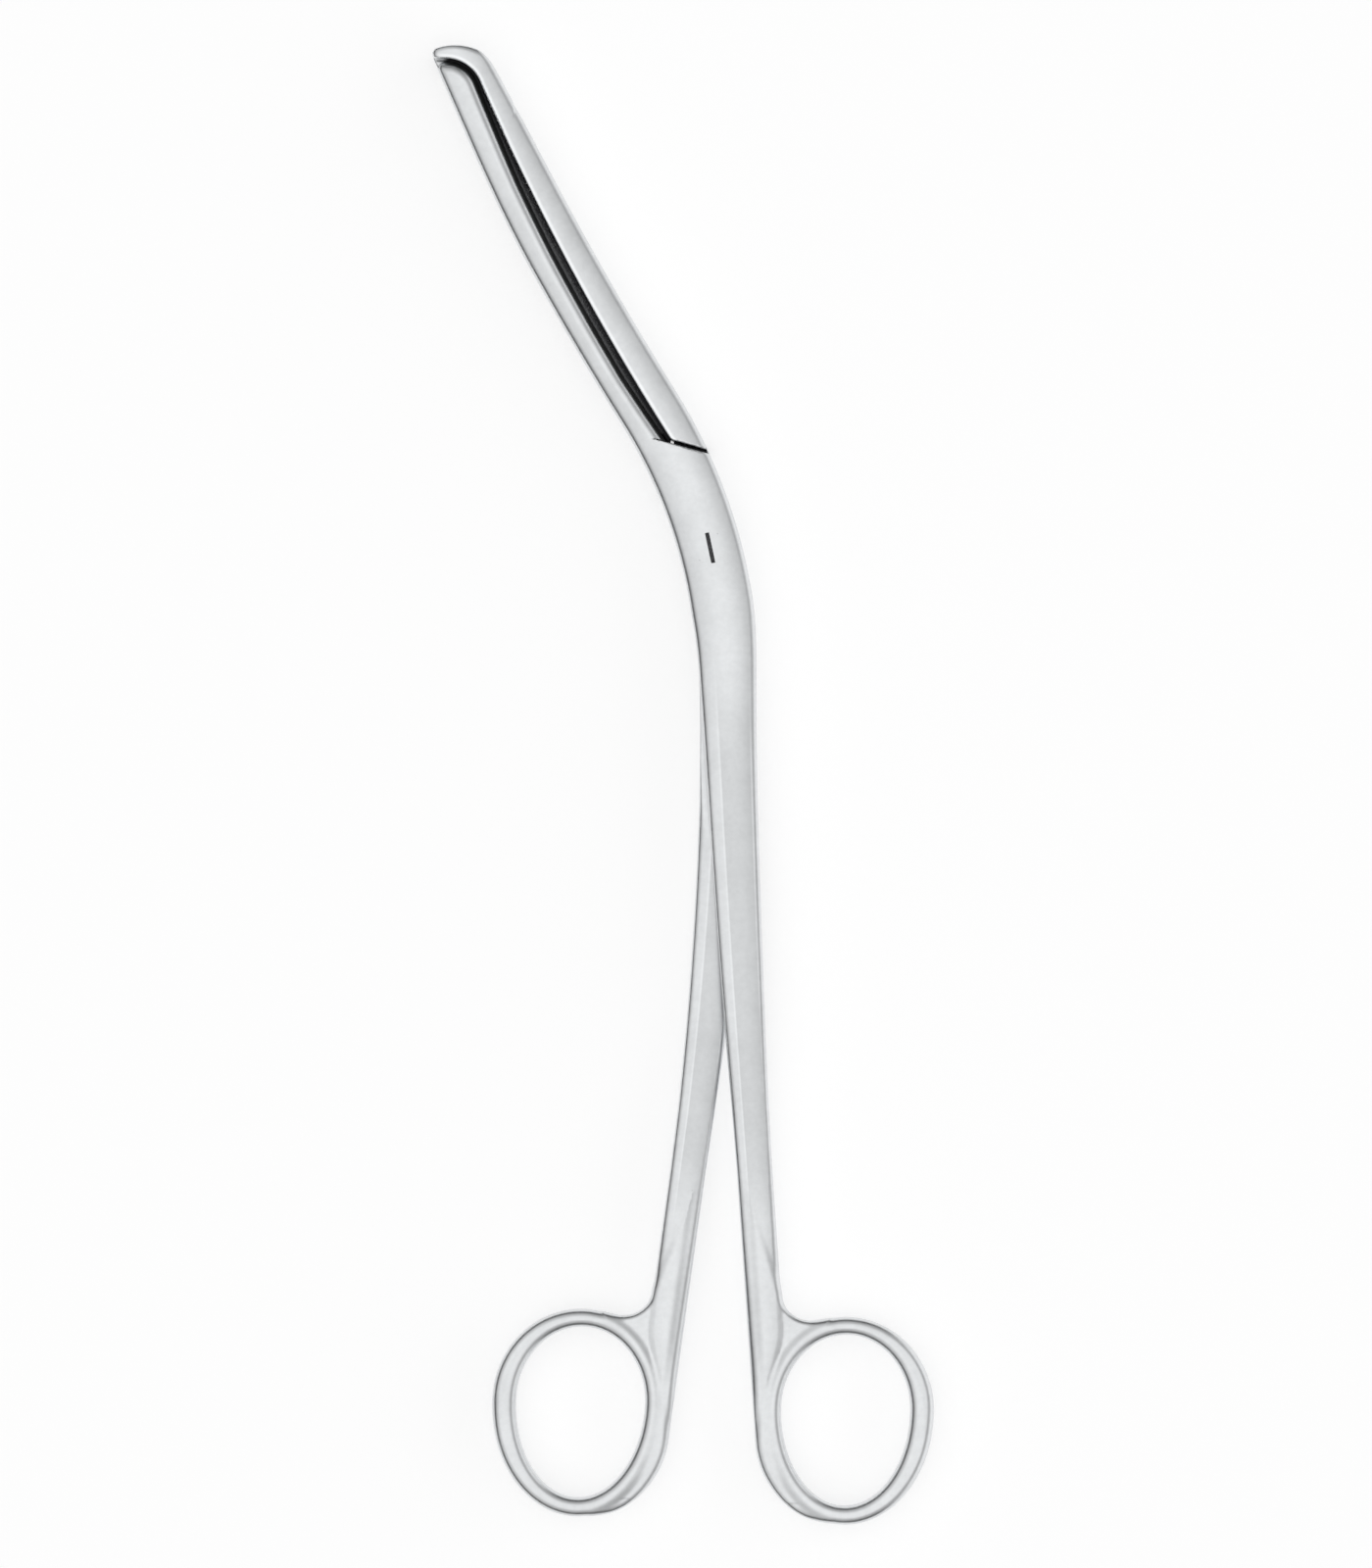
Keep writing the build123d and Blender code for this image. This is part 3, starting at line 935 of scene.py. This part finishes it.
@dataclass
class Lattice:
    """Even grid on which a distance field is sampled, and the skin that is drawn round its zero.

    A cell whose corners differ in sign gets one vertex at the mean of its edges' crossings, and
    each grid edge that crosses the skin gets the quad of its four cells. The vertices are then
    moved along the field's gradient until its value there is nil.

    Attributes:
        low: Lowest corner.
        high: Highest corner.
        pitch: Spacing of the samples.
        reach: Distance round the form in which columns are sampled.
        passes: Steps that the vertices take towards the skin.
        margin: Samples added below and above the corners.
        levels: Heights at which columns are tried.
        outside: Distance that stands in columns far from the form.
        filled: Distance given to a corner that is filled.
        reach_step: Step for the slope along which vertices move.
        normal_step: Step for the slope that gives the normals.
        least_slope: Smallest square of the slope that is counted.
    """

    low: Sequence[float]
    high: Sequence[float]
    pitch: float = 0.3
    reach: float = 1.6
    passes: int = 4
    margin: tuple[float, float] = (2.95, 3.0)
    levels: tuple[float, ...] = (0.7, 2.6, 4.4, 6.3)
    outside: float = 9.0
    filled: float = -0.01
    reach_step: float = 0.02
    normal_step: float = 0.04
    least_slope: float = 0.2

    def sample(self, form: Form) -> tuple[Array, Array]:
        """Samples the field in every column near the form, and sets it to far outside elsewhere."""
        below, over = self.margin
        axes = [np.arange(a - below * self.pitch, b + over * self.pitch, self.pitch)
                for a, b in zip(self.low, self.high)]
        x, y = np.meshgrid(axes[0], axes[1], indexing="ij")
        nearest = np.min([form(x, y, np.full_like(x, level)) for level in self.levels], axis=0)
        columns = nearest < self.reach
        volume = np.full((*x.shape, len(axes[2])), self.outside)
        cx, cy = x[columns][:, None], y[columns][:, None]
        volume[columns] = form(cx + 0 * axes[2], cy + 0 * axes[2], axes[2] + 0 * cx)
        origin = np.array([axis[0] for axis in axes])
        return volume, origin

    def skin(self, form: Form) -> Skin:
        """Finds the skin of a form.

        Args:
            form: The signed distance field.

        Returns:
            The closed mesh.
        """
        volume, origin = self.sample(form)
        self.mend(volume)
        inside = volume < 0
        cells = tuple(size - 1 for size in volume.shape)
        steps = [(i, j, k) for i in (0, 1) for j in (0, 1) for k in (0, 1)]
        window = {s: tuple(slice(o, o + size) for o, size in zip(s, cells)) for s in steps}
        count = sum(inside[window[s]].astype(np.int8) for s in steps)
        active = (count > 0) & (count < 8)
        number = np.full(cells, -1)
        number[active] = np.arange(active.sum())
        corner = {s: volume[window[s]][active] for s in steps}
        total, crossings = np.zeros((int(active.sum()), 3)), np.zeros(int(active.sum()))
        for s in steps:
            for axis in range(3):
                if s[axis]:
                    continue
                other = tuple(o + (n == axis) for n, o in enumerate(s))
                a, b = corner[s], corner[other]
                hit = (a < 0) != (b < 0)
                share = np.where(hit, a / np.where(hit, a - b, 1.0), 0.0)
                for n in range(3):
                    total[:, n] += hit * (share if n == axis else s[n])
                crossings += hit
        places = np.argwhere(active) + total / crossings[:, None]
        points = origin + places * self.pitch
        faces = np.concatenate([self.quads(inside, number, axis) for axis in range(3)])
        points, normals = self.settle(form, points)
        return Skin(points, faces, normals)

    def mend(self, volume: Array) -> None:
        """Fills a corner of each grid face whose inside corners only touch across it.

        Without that, an edge of the mesh would be shared by four faces.
        """
        for axis in (0, 1, 2) * 2:
            u, v = (n for n in range(3) if n != axis)
            corners = []
            for i, j in ((0, 0), (1, 1), (0, 1), (1, 0)):
                cut = [slice(None)] * 3
                cut[u], cut[v] = slice(i, volume.shape[u] - 1 + i), slice(j, volume.shape[v] - 1 + j)
                corners.append(volume[tuple(cut)])
            for a, b, c, d in (corners, corners[2:] + corners[:2]):
                c[(a < 0) & (b < 0) & (c >= 0) & (d >= 0)] = self.filled

    def quads(self, inside: Array, number: Array, axis: int) -> Array:
        """Quads round the grid edges along one axis that cross the skin, facing outwards."""
        first, second = [slice(1, -1)] * 3, [slice(1, -1)] * 3
        first[axis], second[axis] = slice(0, -1), slice(1, None)
        a, b = inside[tuple(first)], inside[tuple(second)]
        ends = np.argwhere(a != b)
        leaving = a[tuple(ends.T)]
        ends = ends + np.array([n != axis for n in range(3)])
        u, v = np.eye(3, dtype=int)[(axis + 1) % 3], np.eye(3, dtype=int)[(axis + 2) % 3]
        ring = [ends - u - v, ends - v, ends, ends - u]
        quads = np.stack([number[tuple(cell.T)] for cell in ring], axis=1)
        return np.where(leaving[:, None], quads, quads[:, ::-1])

    def settle(self, form: Form, points: Array) -> tuple[Array, Array]:
        """Moves points along the gradient onto the field's zero, and gives the normals there."""
        for _ in range(self.passes):
            slope = self.gradient(form, points, self.reach_step)
            size = np.maximum((slope**2).sum(axis=1), self.least_slope)
            step = form(*points.T)[:, None] * slope / size[:, None]
            reach = np.maximum(np.linalg.norm(step, axis=1) / self.pitch, 1.0)
            points = points - step / reach[:, None]
        slope = self.gradient(form, points, self.normal_step)
        return points, slope / np.maximum(np.linalg.norm(slope, axis=1), TINY)[:, None]

    @staticmethod
    def gradient(form: Form, points: Array, step: float) -> Array:
        """Gradient of the field from differences over a small step each way."""
        slopes = [(form(*(points + move).T) - form(*(points - move).T)) / (2 * step)
                  for move in np.eye(3) * step]
        return np.stack(slopes, axis=1)


def new_group(name: str, inputs: dict[str, float | tuple[float, ...]],
              outputs: Sequence[str]) -> tuple[Tree, bpy.types.Node, bpy.types.Node]:
    """Makes an empty shader node group with named sockets.

    Args:
        name: Name of the group.
        inputs: Name and default value of each input, where three numbers make a vector.
        outputs: Name of each output, a number.

    Returns:
        The group, the node of its inputs and the node of its outputs.
    """
    group = bpy.data.node_groups.new(name, "ShaderNodeTree")
    for title, value in inputs.items():
        kind = "NodeSocketVector" if isinstance(value, tuple) else "NodeSocketFloat"
        socket = group.interface.new_socket(title, in_out="INPUT", socket_type=kind)
        socket.default_value = value
    for title in outputs:
        group.interface.new_socket(title, in_out="OUTPUT", socket_type="NodeSocketFloat")
    return group, put(group, "NodeGroupInput"), put(group, "NodeGroupOutput")


def put(tree: Tree, kind: str, values: dict[str | int, object] | None = None,
        **settings: object) -> bpy.types.Node:
    """Adds a node with its settings, and with values or links on its inputs.

    Args:
        tree: Node tree to add to.
        kind: Name of the node's type.
        values: Number, colour or output socket for each named or numbered input.
        settings: Settings of the node itself.

    Returns:
        The node.
    """
    node = tree.nodes.new(kind)
    for name, value in settings.items():
        setattr(node, name, value)
    for key, value in (values or {}).items():
        if isinstance(value, Socket):
            tree.links.new(value, node.inputs[key])
        else:
            node.inputs[key].default_value = value
    return node


def ramp(tree: Tree, source: Socket, start: float, end: float,
         low: float, high: float) -> Socket:
    """Eases a value from one number to another while the source runs between two others."""
    values = {"Value": source, "From Min": start, "From Max": end, "To Min": low, "To Max": high}
    return put(tree, "ShaderNodeMapRange", values, interpolation_type="SMOOTHSTEP").outputs["Result"]


def maths(tree: Tree, operation: str, a: object, b: object) -> Socket:
    """Adds one calculation on two values or sockets."""
    return put(tree, "ShaderNodeMath", {0: a, 1: b}, operation=operation).outputs["Value"]


def blend(tree: Tree, share: Socket, a: object, b: object) -> Socket:
    """Mixes two values by a share."""
    return put(tree, "ShaderNodeMix", {0: share, 2: a, 3: b}, data_type="FLOAT").outputs[0]


def scaled(tree: Tree, vector: object, factor: object) -> Socket:
    """Scales a vector or a colour by a number or a socket."""
    node = put(tree, "ShaderNodeVectorMath", {0: vector, "Scale": factor}, operation="SCALE")
    return node.outputs["Vector"]


def painted(tree: Tree, name: str, output: str = "Fac") -> Socket:
    """Reads a value that is stored on the mesh."""
    return put(tree, "ShaderNodeAttribute", attribute_name=name).outputs[output]


class SteelEffects:
    """The node groups that every steel finish shares.

    Attributes:
        grain: Group that gives the fine polishing grain as a height and a roughness change.
        cloud: Group that gives the faint cloudy patches of satin steel.
        facet: Group that paints shade on a strip along the arm, and highlights along its edges.
        FINE_CLOUDS: How many times finer the second noise of the clouds is.
    """

    FINE_CLOUDS = 7.0

    def __init__(self) -> None:
        """Builds each group once."""
        self.grain = self.build_grain()
        self.cloud = self.build_cloud()
        self.facet = self.build_facet()

    def build_grain(self) -> Tree:
        """Grain: noise stretched along the first coordinate, with finer noise on top."""
        inputs = {"Place": (0.0, 0.0, 0.0), "Length": 0.12, "Fineness": 4.0, "Contrast": 0.05}
        group, entry, leave = new_group("polishing_grain", inputs, ("Height", "Roughness Change"))
        stretch = put(group, "ShaderNodeCombineXYZ", {
            "X": entry.outputs["Length"], "Y": entry.outputs["Fineness"], "Z": entry.outputs["Fineness"]})
        place = put(group, "ShaderNodeVectorMath", {0: entry.outputs["Place"], 1: stretch.outputs["Vector"]},
                    operation="MULTIPLY")
        noise = put(group, "ShaderNodeTexNoise", {
            "Vector": place.outputs["Vector"], "Scale": 1.0, "Detail": 3.0, "Roughness": 0.6})
        centred = maths(group, "SUBTRACT", noise.outputs["Fac"], 0.5)
        change = maths(group, "MULTIPLY", centred, entry.outputs["Contrast"])
        group.links.new(noise.outputs["Fac"], leave.inputs["Height"])
        group.links.new(change, leave.inputs["Roughness Change"])
        return group

    def build_cloud(self) -> Tree:
        """Cloud: two soft noises of different size, as a brightness near one."""
        inputs = {"Place": (0.0, 0.0, 0.0), "Size": 0.12, "Depth": 0.06}
        group, entry, leave = new_group("satin_cloud", inputs, ("Brightness", "Mask"))
        fine = maths(group, "MULTIPLY", entry.outputs["Size"], self.FINE_CLOUDS)
        large = put(group, "ShaderNodeTexNoise", {
            "Vector": entry.outputs["Place"], "Scale": entry.outputs["Size"], "Detail": 2.0})
        small = put(group, "ShaderNodeTexNoise", {
            "Vector": entry.outputs["Place"], "Scale": fine, "Detail": 3.0})
        both = maths(group, "ADD", large.outputs["Fac"], small.outputs["Fac"])
        centred = maths(group, "SUBTRACT", both, 1.0)
        change = maths(group, "MULTIPLY", centred, entry.outputs["Depth"])
        group.links.new(maths(group, "ADD", change, 1.0), leave.inputs["Brightness"])
        mask = maths(group, "ADD", maths(group, "MULTIPLY", centred, 0.5), 0.5)
        group.links.new(mask, leave.inputs["Mask"])
        return group

    def build_facet(self) -> Tree:
        """Facet: painted shade on a strip between two shares of the width, and painted highlights in lines
        along its edges.
        """
        inputs = {"Share": 0.0, "Start": -0.45, "End": 0.78, "Line Width": 0.07}
        group, entry, leave = new_group("facet_shade_and_highlight", inputs, ("Mask", "Line"))
        share, width = entry.outputs["Share"], entry.outputs["Line Width"]
        past_start = maths(group, "SUBTRACT", share, entry.outputs["Start"])
        before_end = maths(group, "SUBTRACT", entry.outputs["End"], share)
        inside = maths(group, "DIVIDE", maths(group, "MINIMUM", past_start, before_end), width)
        group.links.new(ramp(group, inside, 0.0, 1.0, 0.0, 1.0), leave.inputs["Mask"])
        edge = maths(group, "ABSOLUTE", inside, 0.0)
        group.links.new(ramp(group, edge, 0.0, 1.0, 1.0, 0.0), leave.inputs["Line"])
        return group


@dataclass(frozen=True)
class SatinSteel:
    """Satin stainless steel with a polishing grain and faint clouds, with shade painted into its hollows, and
    painted shade and highlights along the shank's facet and the jaw's rim.

    Attributes:
        name: Name of the material.
        colour: Linear colour of the clean steel.
        roughness: Middle roughness.
        grain_length: Samples of the grain per millimetre along the arm.
        grain_fineness: Samples per millimetre across it.
        grain_contrast: Roughness change of the grain.
        grain_height: Height of the grain's bump, in metres.
        cloud_size: Clouds per millimetre.
        cloud_depth: Brightness change of the clouds.
        cloud_roughness: Roughness change of the clouds.
        painted_shade_colour: Linear colour of the shade painted deep in a hollow.
        painted_shade_roughness: Roughness where that shade is painted.
        cover_reach: Distance within which the other jaw covers the groove, in metres.
        cover_span: Openness up to which a point is fully covered, and from which it is free.
        cover_samples: Rays that test the cover.
        facet_start: Distances below the screw between which the facet painted along the shank fades in.
        facet_end: Distances between which it fades out.
        facet_painted_shade: How much darker the painted shade makes the facet.
        facet_painted_highlight: How much brighter the highlights painted on its edges make them.
        painted_rim_highlight: How much brighter the highlight painted along the jaw's rim is.
        rim_place: Distance of the line's middle from the rim.
        rim_span: Distances from its middle between which it fades.
    """

    name: str
    colour: tuple[float, float, float] = (0.755, 0.77, 0.78)
    roughness: float = 0.31
    grain_length: float = 0.15
    grain_fineness: float = 5.0
    grain_contrast: float = 0.07
    grain_height: float = 0.000004
    cloud_size: float = 0.14
    cloud_depth: float = 0.16
    cloud_roughness: float = 0.04
    painted_shade_colour: tuple[float, float, float] = (0.03, 0.03, 0.033)
    painted_shade_roughness: float = 0.6
    cover_reach: float = 0.006
    cover_span: tuple[float, float] = (0.56, 0.72)
    cover_samples: int = 12
    facet_start: tuple[float, float] = (18.0, 43.0)
    facet_end: tuple[float, float] = (108.0, 128.0)
    facet_painted_shade: float = 0.16
    facet_painted_highlight: float = 0.08
    painted_rim_highlight: float = 0.0
    rim_place: float = 0.35
    rim_span: tuple[float, float] = (0.15, 0.6)

    def build(self, effects: SteelEffects) -> Material:
        """Builds the material from the shared node groups.

        Args:
            effects: The groups.

        Returns:
            The material.
        """
        material = bpy.data.materials.new(self.name)
        material.use_nodes = True
        tree = material.node_tree
        shader = tree.nodes["Principled BSDF"]
        shader.inputs["Metallic"].default_value = 1.0
        solid = scaled(tree, put(tree, "ShaderNodeTexCoord").outputs["Object"], 1 / MM)
        place = painted(tree, "along_arm", "Vector")
        painted_shade = self.covered_painted_shade(tree)
        grain = put(tree, "ShaderNodeGroup", {
            "Place": place, "Length": self.grain_length, "Fineness": self.grain_fineness,
            "Contrast": self.grain_contrast}, node_tree=effects.grain)
        cloud = put(tree, "ShaderNodeGroup", {
            "Place": solid, "Size": self.cloud_size, "Depth": self.cloud_depth}, node_tree=effects.cloud)
        # The clouds' brightness times the painted shade and highlights of the facet.
        level = maths(tree, "MULTIPLY", cloud.outputs["Brightness"], self.facet_painted_light(tree, place, effects))
        # A highlight painted along the jaw's rim.
        if self.painted_rim_highlight:
            level = maths(tree, "ADD", level, self.rim_highlight_level(tree))
        # Painted shade: the steel's colour is mixed towards a dark colour by the share of painted shade.
        shade = put(tree, "ShaderNodeMix", {
            0: painted_shade, 6: scaled(tree, self.colour, level), 7: (*self.painted_shade_colour, 1.0)}, data_type="RGBA")
        rough = maths(tree, "ADD", grain.outputs["Roughness Change"], self.roughness)
        patches = maths(tree, "MULTIPLY", cloud.outputs["Mask"], self.cloud_roughness)
        rough = maths(tree, "ADD", rough, patches)
        rough = blend(tree, painted_shade, rough, self.painted_shade_roughness)
        bump = put(tree, "ShaderNodeBump", {
            "Height": grain.outputs["Height"], "Strength": 0.5, "Distance": self.grain_height})
        tree.links.new(shade.outputs[2], shader.inputs["Base Color"])
        tree.links.new(rough, shader.inputs["Roughness"])
        tree.links.new(bump.outputs["Normal"], shader.inputs["Normal"])
        return material

    def covered_painted_shade(self, tree: Tree) -> Socket:
        """Share of painted shade in the groove and slot, counted only while the other jaw covers it, so an
        open jaw is bright.
        """
        cover = put(tree, "ShaderNodeAmbientOcclusion", {"Distance": self.cover_reach},
                    samples=self.cover_samples)
        covered = ramp(tree, cover.outputs["AO"], *self.cover_span, 1.0, 0.0)
        return maths(tree, "MULTIPLY", painted(tree, "painted_shade"), covered)

    def facet_painted_light(self, tree: Tree, place: Socket, effects: SteelEffects) -> Socket:
        """Painted shade of the facet strip along the shank and painted highlights on its edges, which fade in
        below the joint.
        """
        along = put(tree, "ShaderNodeSeparateXYZ", {"Vector": place}).outputs["X"]
        fade_in = ramp(tree, along, *self.facet_start, 0.0, 1.0)
        fade_out = ramp(tree, along, *self.facet_end, 1.0, 0.0)
        facet = put(tree, "ShaderNodeGroup", {"Share": painted(tree, "width_share")}, node_tree=effects.facet)
        darker = maths(tree, "MULTIPLY", facet.outputs["Mask"], -self.facet_painted_shade)
        lighter = maths(tree, "MULTIPLY", facet.outputs["Line"], self.facet_painted_highlight)
        both, fade = maths(tree, "ADD", darker, lighter), maths(tree, "MULTIPLY", fade_in, fade_out)
        return maths(tree, "ADD", maths(tree, "MULTIPLY", both, fade), 1.0)

    def rim_highlight_level(self, tree: Tree) -> Socket:
        """Painted highlight: added brightness in a thin line along the rim of the jaw."""
        off = maths(tree, "SUBTRACT", painted(tree, "from_rim"), self.rim_place)
        return ramp(tree, maths(tree, "ABSOLUTE", off, 0.0), *self.rim_span, self.painted_rim_highlight, 0.0)


def make_piece(name: str, skin: Skin, arm: Arm, painted_shade: Array,
               material: Material) -> bpy.types.Object:
    """Turns a skin into a mesh object with the coordinates that its finish reads.

    Args:
        name: Name of the piece.
        skin: The skin, in millimetres.
        arm: The arm whose coordinates it uses.
        painted_shade: Share of shade painted at each vertex, by how deep it lies in a hollow.
        material: Its finish.

    Returns:
        The object, at the origin. Its distance from the rim counts only on the front half.
    """
    mesh = bpy.data.meshes.new(name)
    mesh.from_pydata((skin.points * MM).tolist(), [], skin.faces.tolist())
    mesh.polygons.foreach_set("use_smooth", np.ones(len(skin.faces), bool))
    x, y, z = skin.points.T
    along, right = arm.line.locate(x, y)
    away, near, *_ = arm.shank.at(along)
    place = mesh.attributes.new("along_arm", "FLOAT_VECTOR", "POINT")
    place.data.foreach_set("vector", np.stack([along, right, z], axis=1).ravel())
    # Masks of the painted shade, of the facet's painted shade and highlights, and of the rim's painted
    # highlight.
    values = {
        "painted_shade": painted_shade,
        "width_share": (right * 2 - (near + away) * arm.side.value) / (near - away),
        "from_rim": np.where(z > arm.head.mid + RIM_ABOVE, arm.parting.locate(x, y)[1], FAR),
    }
    for title, value in values.items():
        mesh.attributes.new(title, "FLOAT", "POINT").data.foreach_set("value", value)
    mesh.update()
    mesh.normals_split_custom_set_from_vertices(skin.normals.tolist())
    mesh.materials.append(material)
    piece = bpy.data.objects.new(name, mesh)
    bpy.context.scene.collection.objects.link(piece)
    return piece


@dataclass
class Forceps:
    """The whole instrument: two arms and the screw that holds them.

    Attributes:
        head: The closed head.
        tip: Its end.
        jaws: Its parting.
        screw: The screw's seats.
        shank: Sections of both shanks.
        ring: Both finger rings.
        front_leans: Joint and ring lean of the front arm.
        rear_leans: Joint and ring lean of the rear arm.
        pitch: Spacing of the samples from which the arms' skins are drawn.
        screw_pitch: Spacing of the samples of the screw.
        slots: Finish slot of each node; not used.
    """

    head: Head = field(default_factory=Head)
    tip: Tip = field(default_factory=Tip)
    jaws: Jaws = field(default_factory=Jaws)
    screw: Screw = field(default_factory=Screw)
    shank: Shank = field(default_factory=Shank)
    ring: FingerRing = field(default_factory=FingerRing)
    front_leans: tuple[float, float] = (2.0, 3.9)
    rear_leans: tuple[float, float] = (-1.0, -7.9)
    pitch: float = 0.3
    screw_pitch: float = 0.13
    slots: dict[str, str] = field(default_factory=lambda: {
        "front_arm": "front_steel", "rear_arm": "rear_steel", "pivot_screw": "screw_steel"})

    def arms(self) -> tuple[FrontArm, RearArm]:
        """The front arm and the rear one."""
        shared = (self.head, self.tip, self.jaws, self.screw, self.shank, self.ring)
        return (FrontArm(*shared, Side.FRONT, *self.front_leans),
                RearArm(*shared, Side.REAR, *self.rear_leans))

    def build(self, finishes: dict[str, Material]) -> None:
        """Builds both arms and the screw, and fits each in place of its node.

        Args:
            finishes: Material for each node.
        """
        front, rear = self.arms()
        # Each plan gives the node, the piece's name, its arm, its form, its painted shade mask, its sample
        # spacing and its body.
        plans = (
            ("front_arm", "front_arm_forging", front, front.field, front.painted_shade, self.pitch, Body.FRONT),
            ("rear_arm", "rear_arm_forging", rear, rear.field, rear.painted_shade, self.pitch, Body.REAR),
            ("pivot_screw", "flush_screw", front, front.screw_field, front.screw_painted_shade, self.screw_pitch,
             Body.REAR),
        )
        for node, name, arm, form, painted_shade, pitch, body in plans:
            skin = front.grind(self.lattice(node, pitch).skin(form))
            self.fit(make_piece(name, skin, arm, painted_shade(*skin.points.T), finishes[node]), body, node)

    def lattice(self, node: str, pitch: float) -> Lattice:
        """Sample grid round a node."""
        low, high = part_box(node)
        return Lattice([v / MM for v in low], [v / MM for v in high], pitch)

    def fit(self, piece: bpy.types.Object, body: Body, node: str) -> None:
        """Lets a piece ride on its body in place of its node."""
        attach(piece, body.value)
        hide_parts(node)
        mesh = piece.data
        LOG.info("%s: %d vertices, %d quads", piece.name, len(mesh.vertices), len(mesh.polygons))


@dataclass
class Stage:
    """Camera, pale floor and soft studio light, in metres.

    Attributes:
        frame_height: Height of the photograph's frame at the forceps.
        frame_middle: Plan point in the middle of the frame.
        distance: Distance of the camera above the mid plane.
        middle: Height of the mid plane.
        sensor: Width of the camera's sensor, in millimetres.
        view_end: Distance up to which the camera sees.
        floor_size: Side of the floor.
        floor_height: Height of the floor.
        floor_colour: Linear grey of the floor.
        floor_lift: Light added to the floor where it is seen or mirrored, so that it is white.
        top_light: Strength of the world overhead.
        slope_light: Strength half way down, on the left and on the right.
        horizon_light: Strength at the horizon, all round and on the right.
        slope_span: Direction's X between which the slope's two strengths change over.
        horizon_span: Direction's X between which the horizon's change over.
        slope_rise: Direction's Z between which the horizon gives way to the slope.
        top_rise: Direction's Z between which the slope gives way to the light overhead.
    """

    frame_height: float = 0.28592
    frame_middle: Point = (-0.00438, -0.04296)
    distance: float = 1.5
    middle: float = 0.0035
    sensor: float = 36.0
    view_end: float = 20.0
    floor_size: float = 6.0
    floor_height: float = -0.0002
    floor_colour: float = 0.62
    floor_lift: float = 0.60
    top_light: float = 1.14
    slope_light: tuple[float, float] = (0.74, 0.42)
    horizon_light: tuple[float, float] = (0.0, 1.1)
    slope_span: tuple[float, float] = (-0.6, 0.6)
    horizon_span: tuple[float, float] = (0.45, 0.80)
    slope_rise: tuple[float, float] = (0.30, 0.66)
    top_rise: tuple[float, float] = (0.80, 0.99)

    def camera(self) -> None:
        """Camera straight above the forceps, with the photograph's frame."""
        data = bpy.data.cameras.new("camera")
        data.sensor_width = self.sensor
        data.lens = data.sensor_width * self.distance / self.frame_height
        data.clip_end = self.view_end
        camera = bpy.data.objects.new("camera", data)
        camera.location = (*self.frame_middle, self.middle + self.distance)
        bpy.context.scene.collection.objects.link(camera)
        bpy.context.scene.camera = camera

    def floor(self) -> None:
        """Flat pale floor just under the forceps, lifted to white where it is seen or mirrored."""
        half = self.floor_size / 2
        corners = [(x * half, y * half, self.floor_height) for x, y in ((-1, -1), (1, -1), (1, 1), (-1, 1))]
        mesh = bpy.data.meshes.new("floor")
        mesh.from_pydata(corners, [], [(0, 1, 2, 3)])
        floor = bpy.data.objects.new("floor", mesh)
        bpy.context.scene.collection.objects.link(floor)
        material = bpy.data.materials.new("pale_floor")
        material.use_nodes = True
        tree = material.node_tree
        shader = tree.nodes["Principled BSDF"]
        shader.inputs["Base Color"].default_value = (self.floor_colour,) * 3 + (1.0,)
        shader.inputs["Roughness"].default_value = 0.9
        shader.inputs["Specular IOR Level"].default_value = 0.0
        light = put(tree, "ShaderNodeLightPath")
        seen = maths(tree, "MAXIMUM", light.outputs["Is Camera Ray"], light.outputs["Is Glossy Ray"])
        seen = maths(tree, "MAXIMUM", seen, light.outputs["Is Transmission Ray"])
        shader.inputs["Emission Color"].default_value = (1.0, 1.0, 1.0, 1.0)
        tree.links.new(maths(tree, "MULTIPLY", seen, self.floor_lift), shader.inputs["Emission Strength"])
        mesh.materials.append(material)

    def world(self) -> None:
        """Soft studio: bright overhead and low on the right, dimmer low down all round."""
        world = bpy.data.worlds.new("studio")
        bpy.context.scene.world = world
        world.use_nodes = True
        tree = world.node_tree
        shade = tree.nodes["Background"]
        way = put(tree, "ShaderNodeTexCoord").outputs["Generated"]
        parts = put(tree, "ShaderNodeSeparateXYZ", {"Vector": way})
        slope = ramp(tree, parts.outputs["X"], *self.slope_span, *self.slope_light)
        horizon = ramp(tree, parts.outputs["X"], *self.horizon_span, *self.horizon_light)
        above_horizon = ramp(tree, parts.outputs["Z"], *self.slope_rise, 0.0, 1.0)
        overhead = ramp(tree, parts.outputs["Z"], *self.top_rise, 0.0, 1.0)
        studio = blend(tree, above_horizon, horizon, slope)
        studio = blend(tree, overhead, studio, self.top_light)
        seen = put(tree, "ShaderNodeLightPath").outputs["Is Camera Ray"]
        tree.links.new(blend(tree, seen, studio, 1.0), shade.inputs["Strength"])
        shade.inputs["Color"].default_value = (1.0, 1.0, 1.0, 1.0)

    def build(self) -> None:
        """Sets up camera, floor and world."""
        self.camera()
        self.floor()
        self.world()
        bpy.context.scene.view_settings.view_transform = "Standard"
        LOG.info("stage: ready")


def main() -> None:
    """Builds the stage, the finishes and the forceps."""
    logging.basicConfig(level=logging.INFO, format="%(name)s: %(message)s")
    Stage().build()
    effects = SteelEffects()
    finishes = {
        "front_arm": SatinSteel("front_satin_steel").build(effects),
        # The rear arm's jaw rim gets a painted highlight.
        "rear_arm": SatinSteel("rear_satin_steel", painted_rim_highlight=0.22).build(effects),
        # The screw's slot gets a lighter painted shade.
        "pivot_screw": SatinSteel("screw_satin_steel", painted_shade_colour=(0.10, 0.10, 0.105)).build(effects),
    }
    Forceps().build(finishes)


if __name__ == "__main__":
    main()
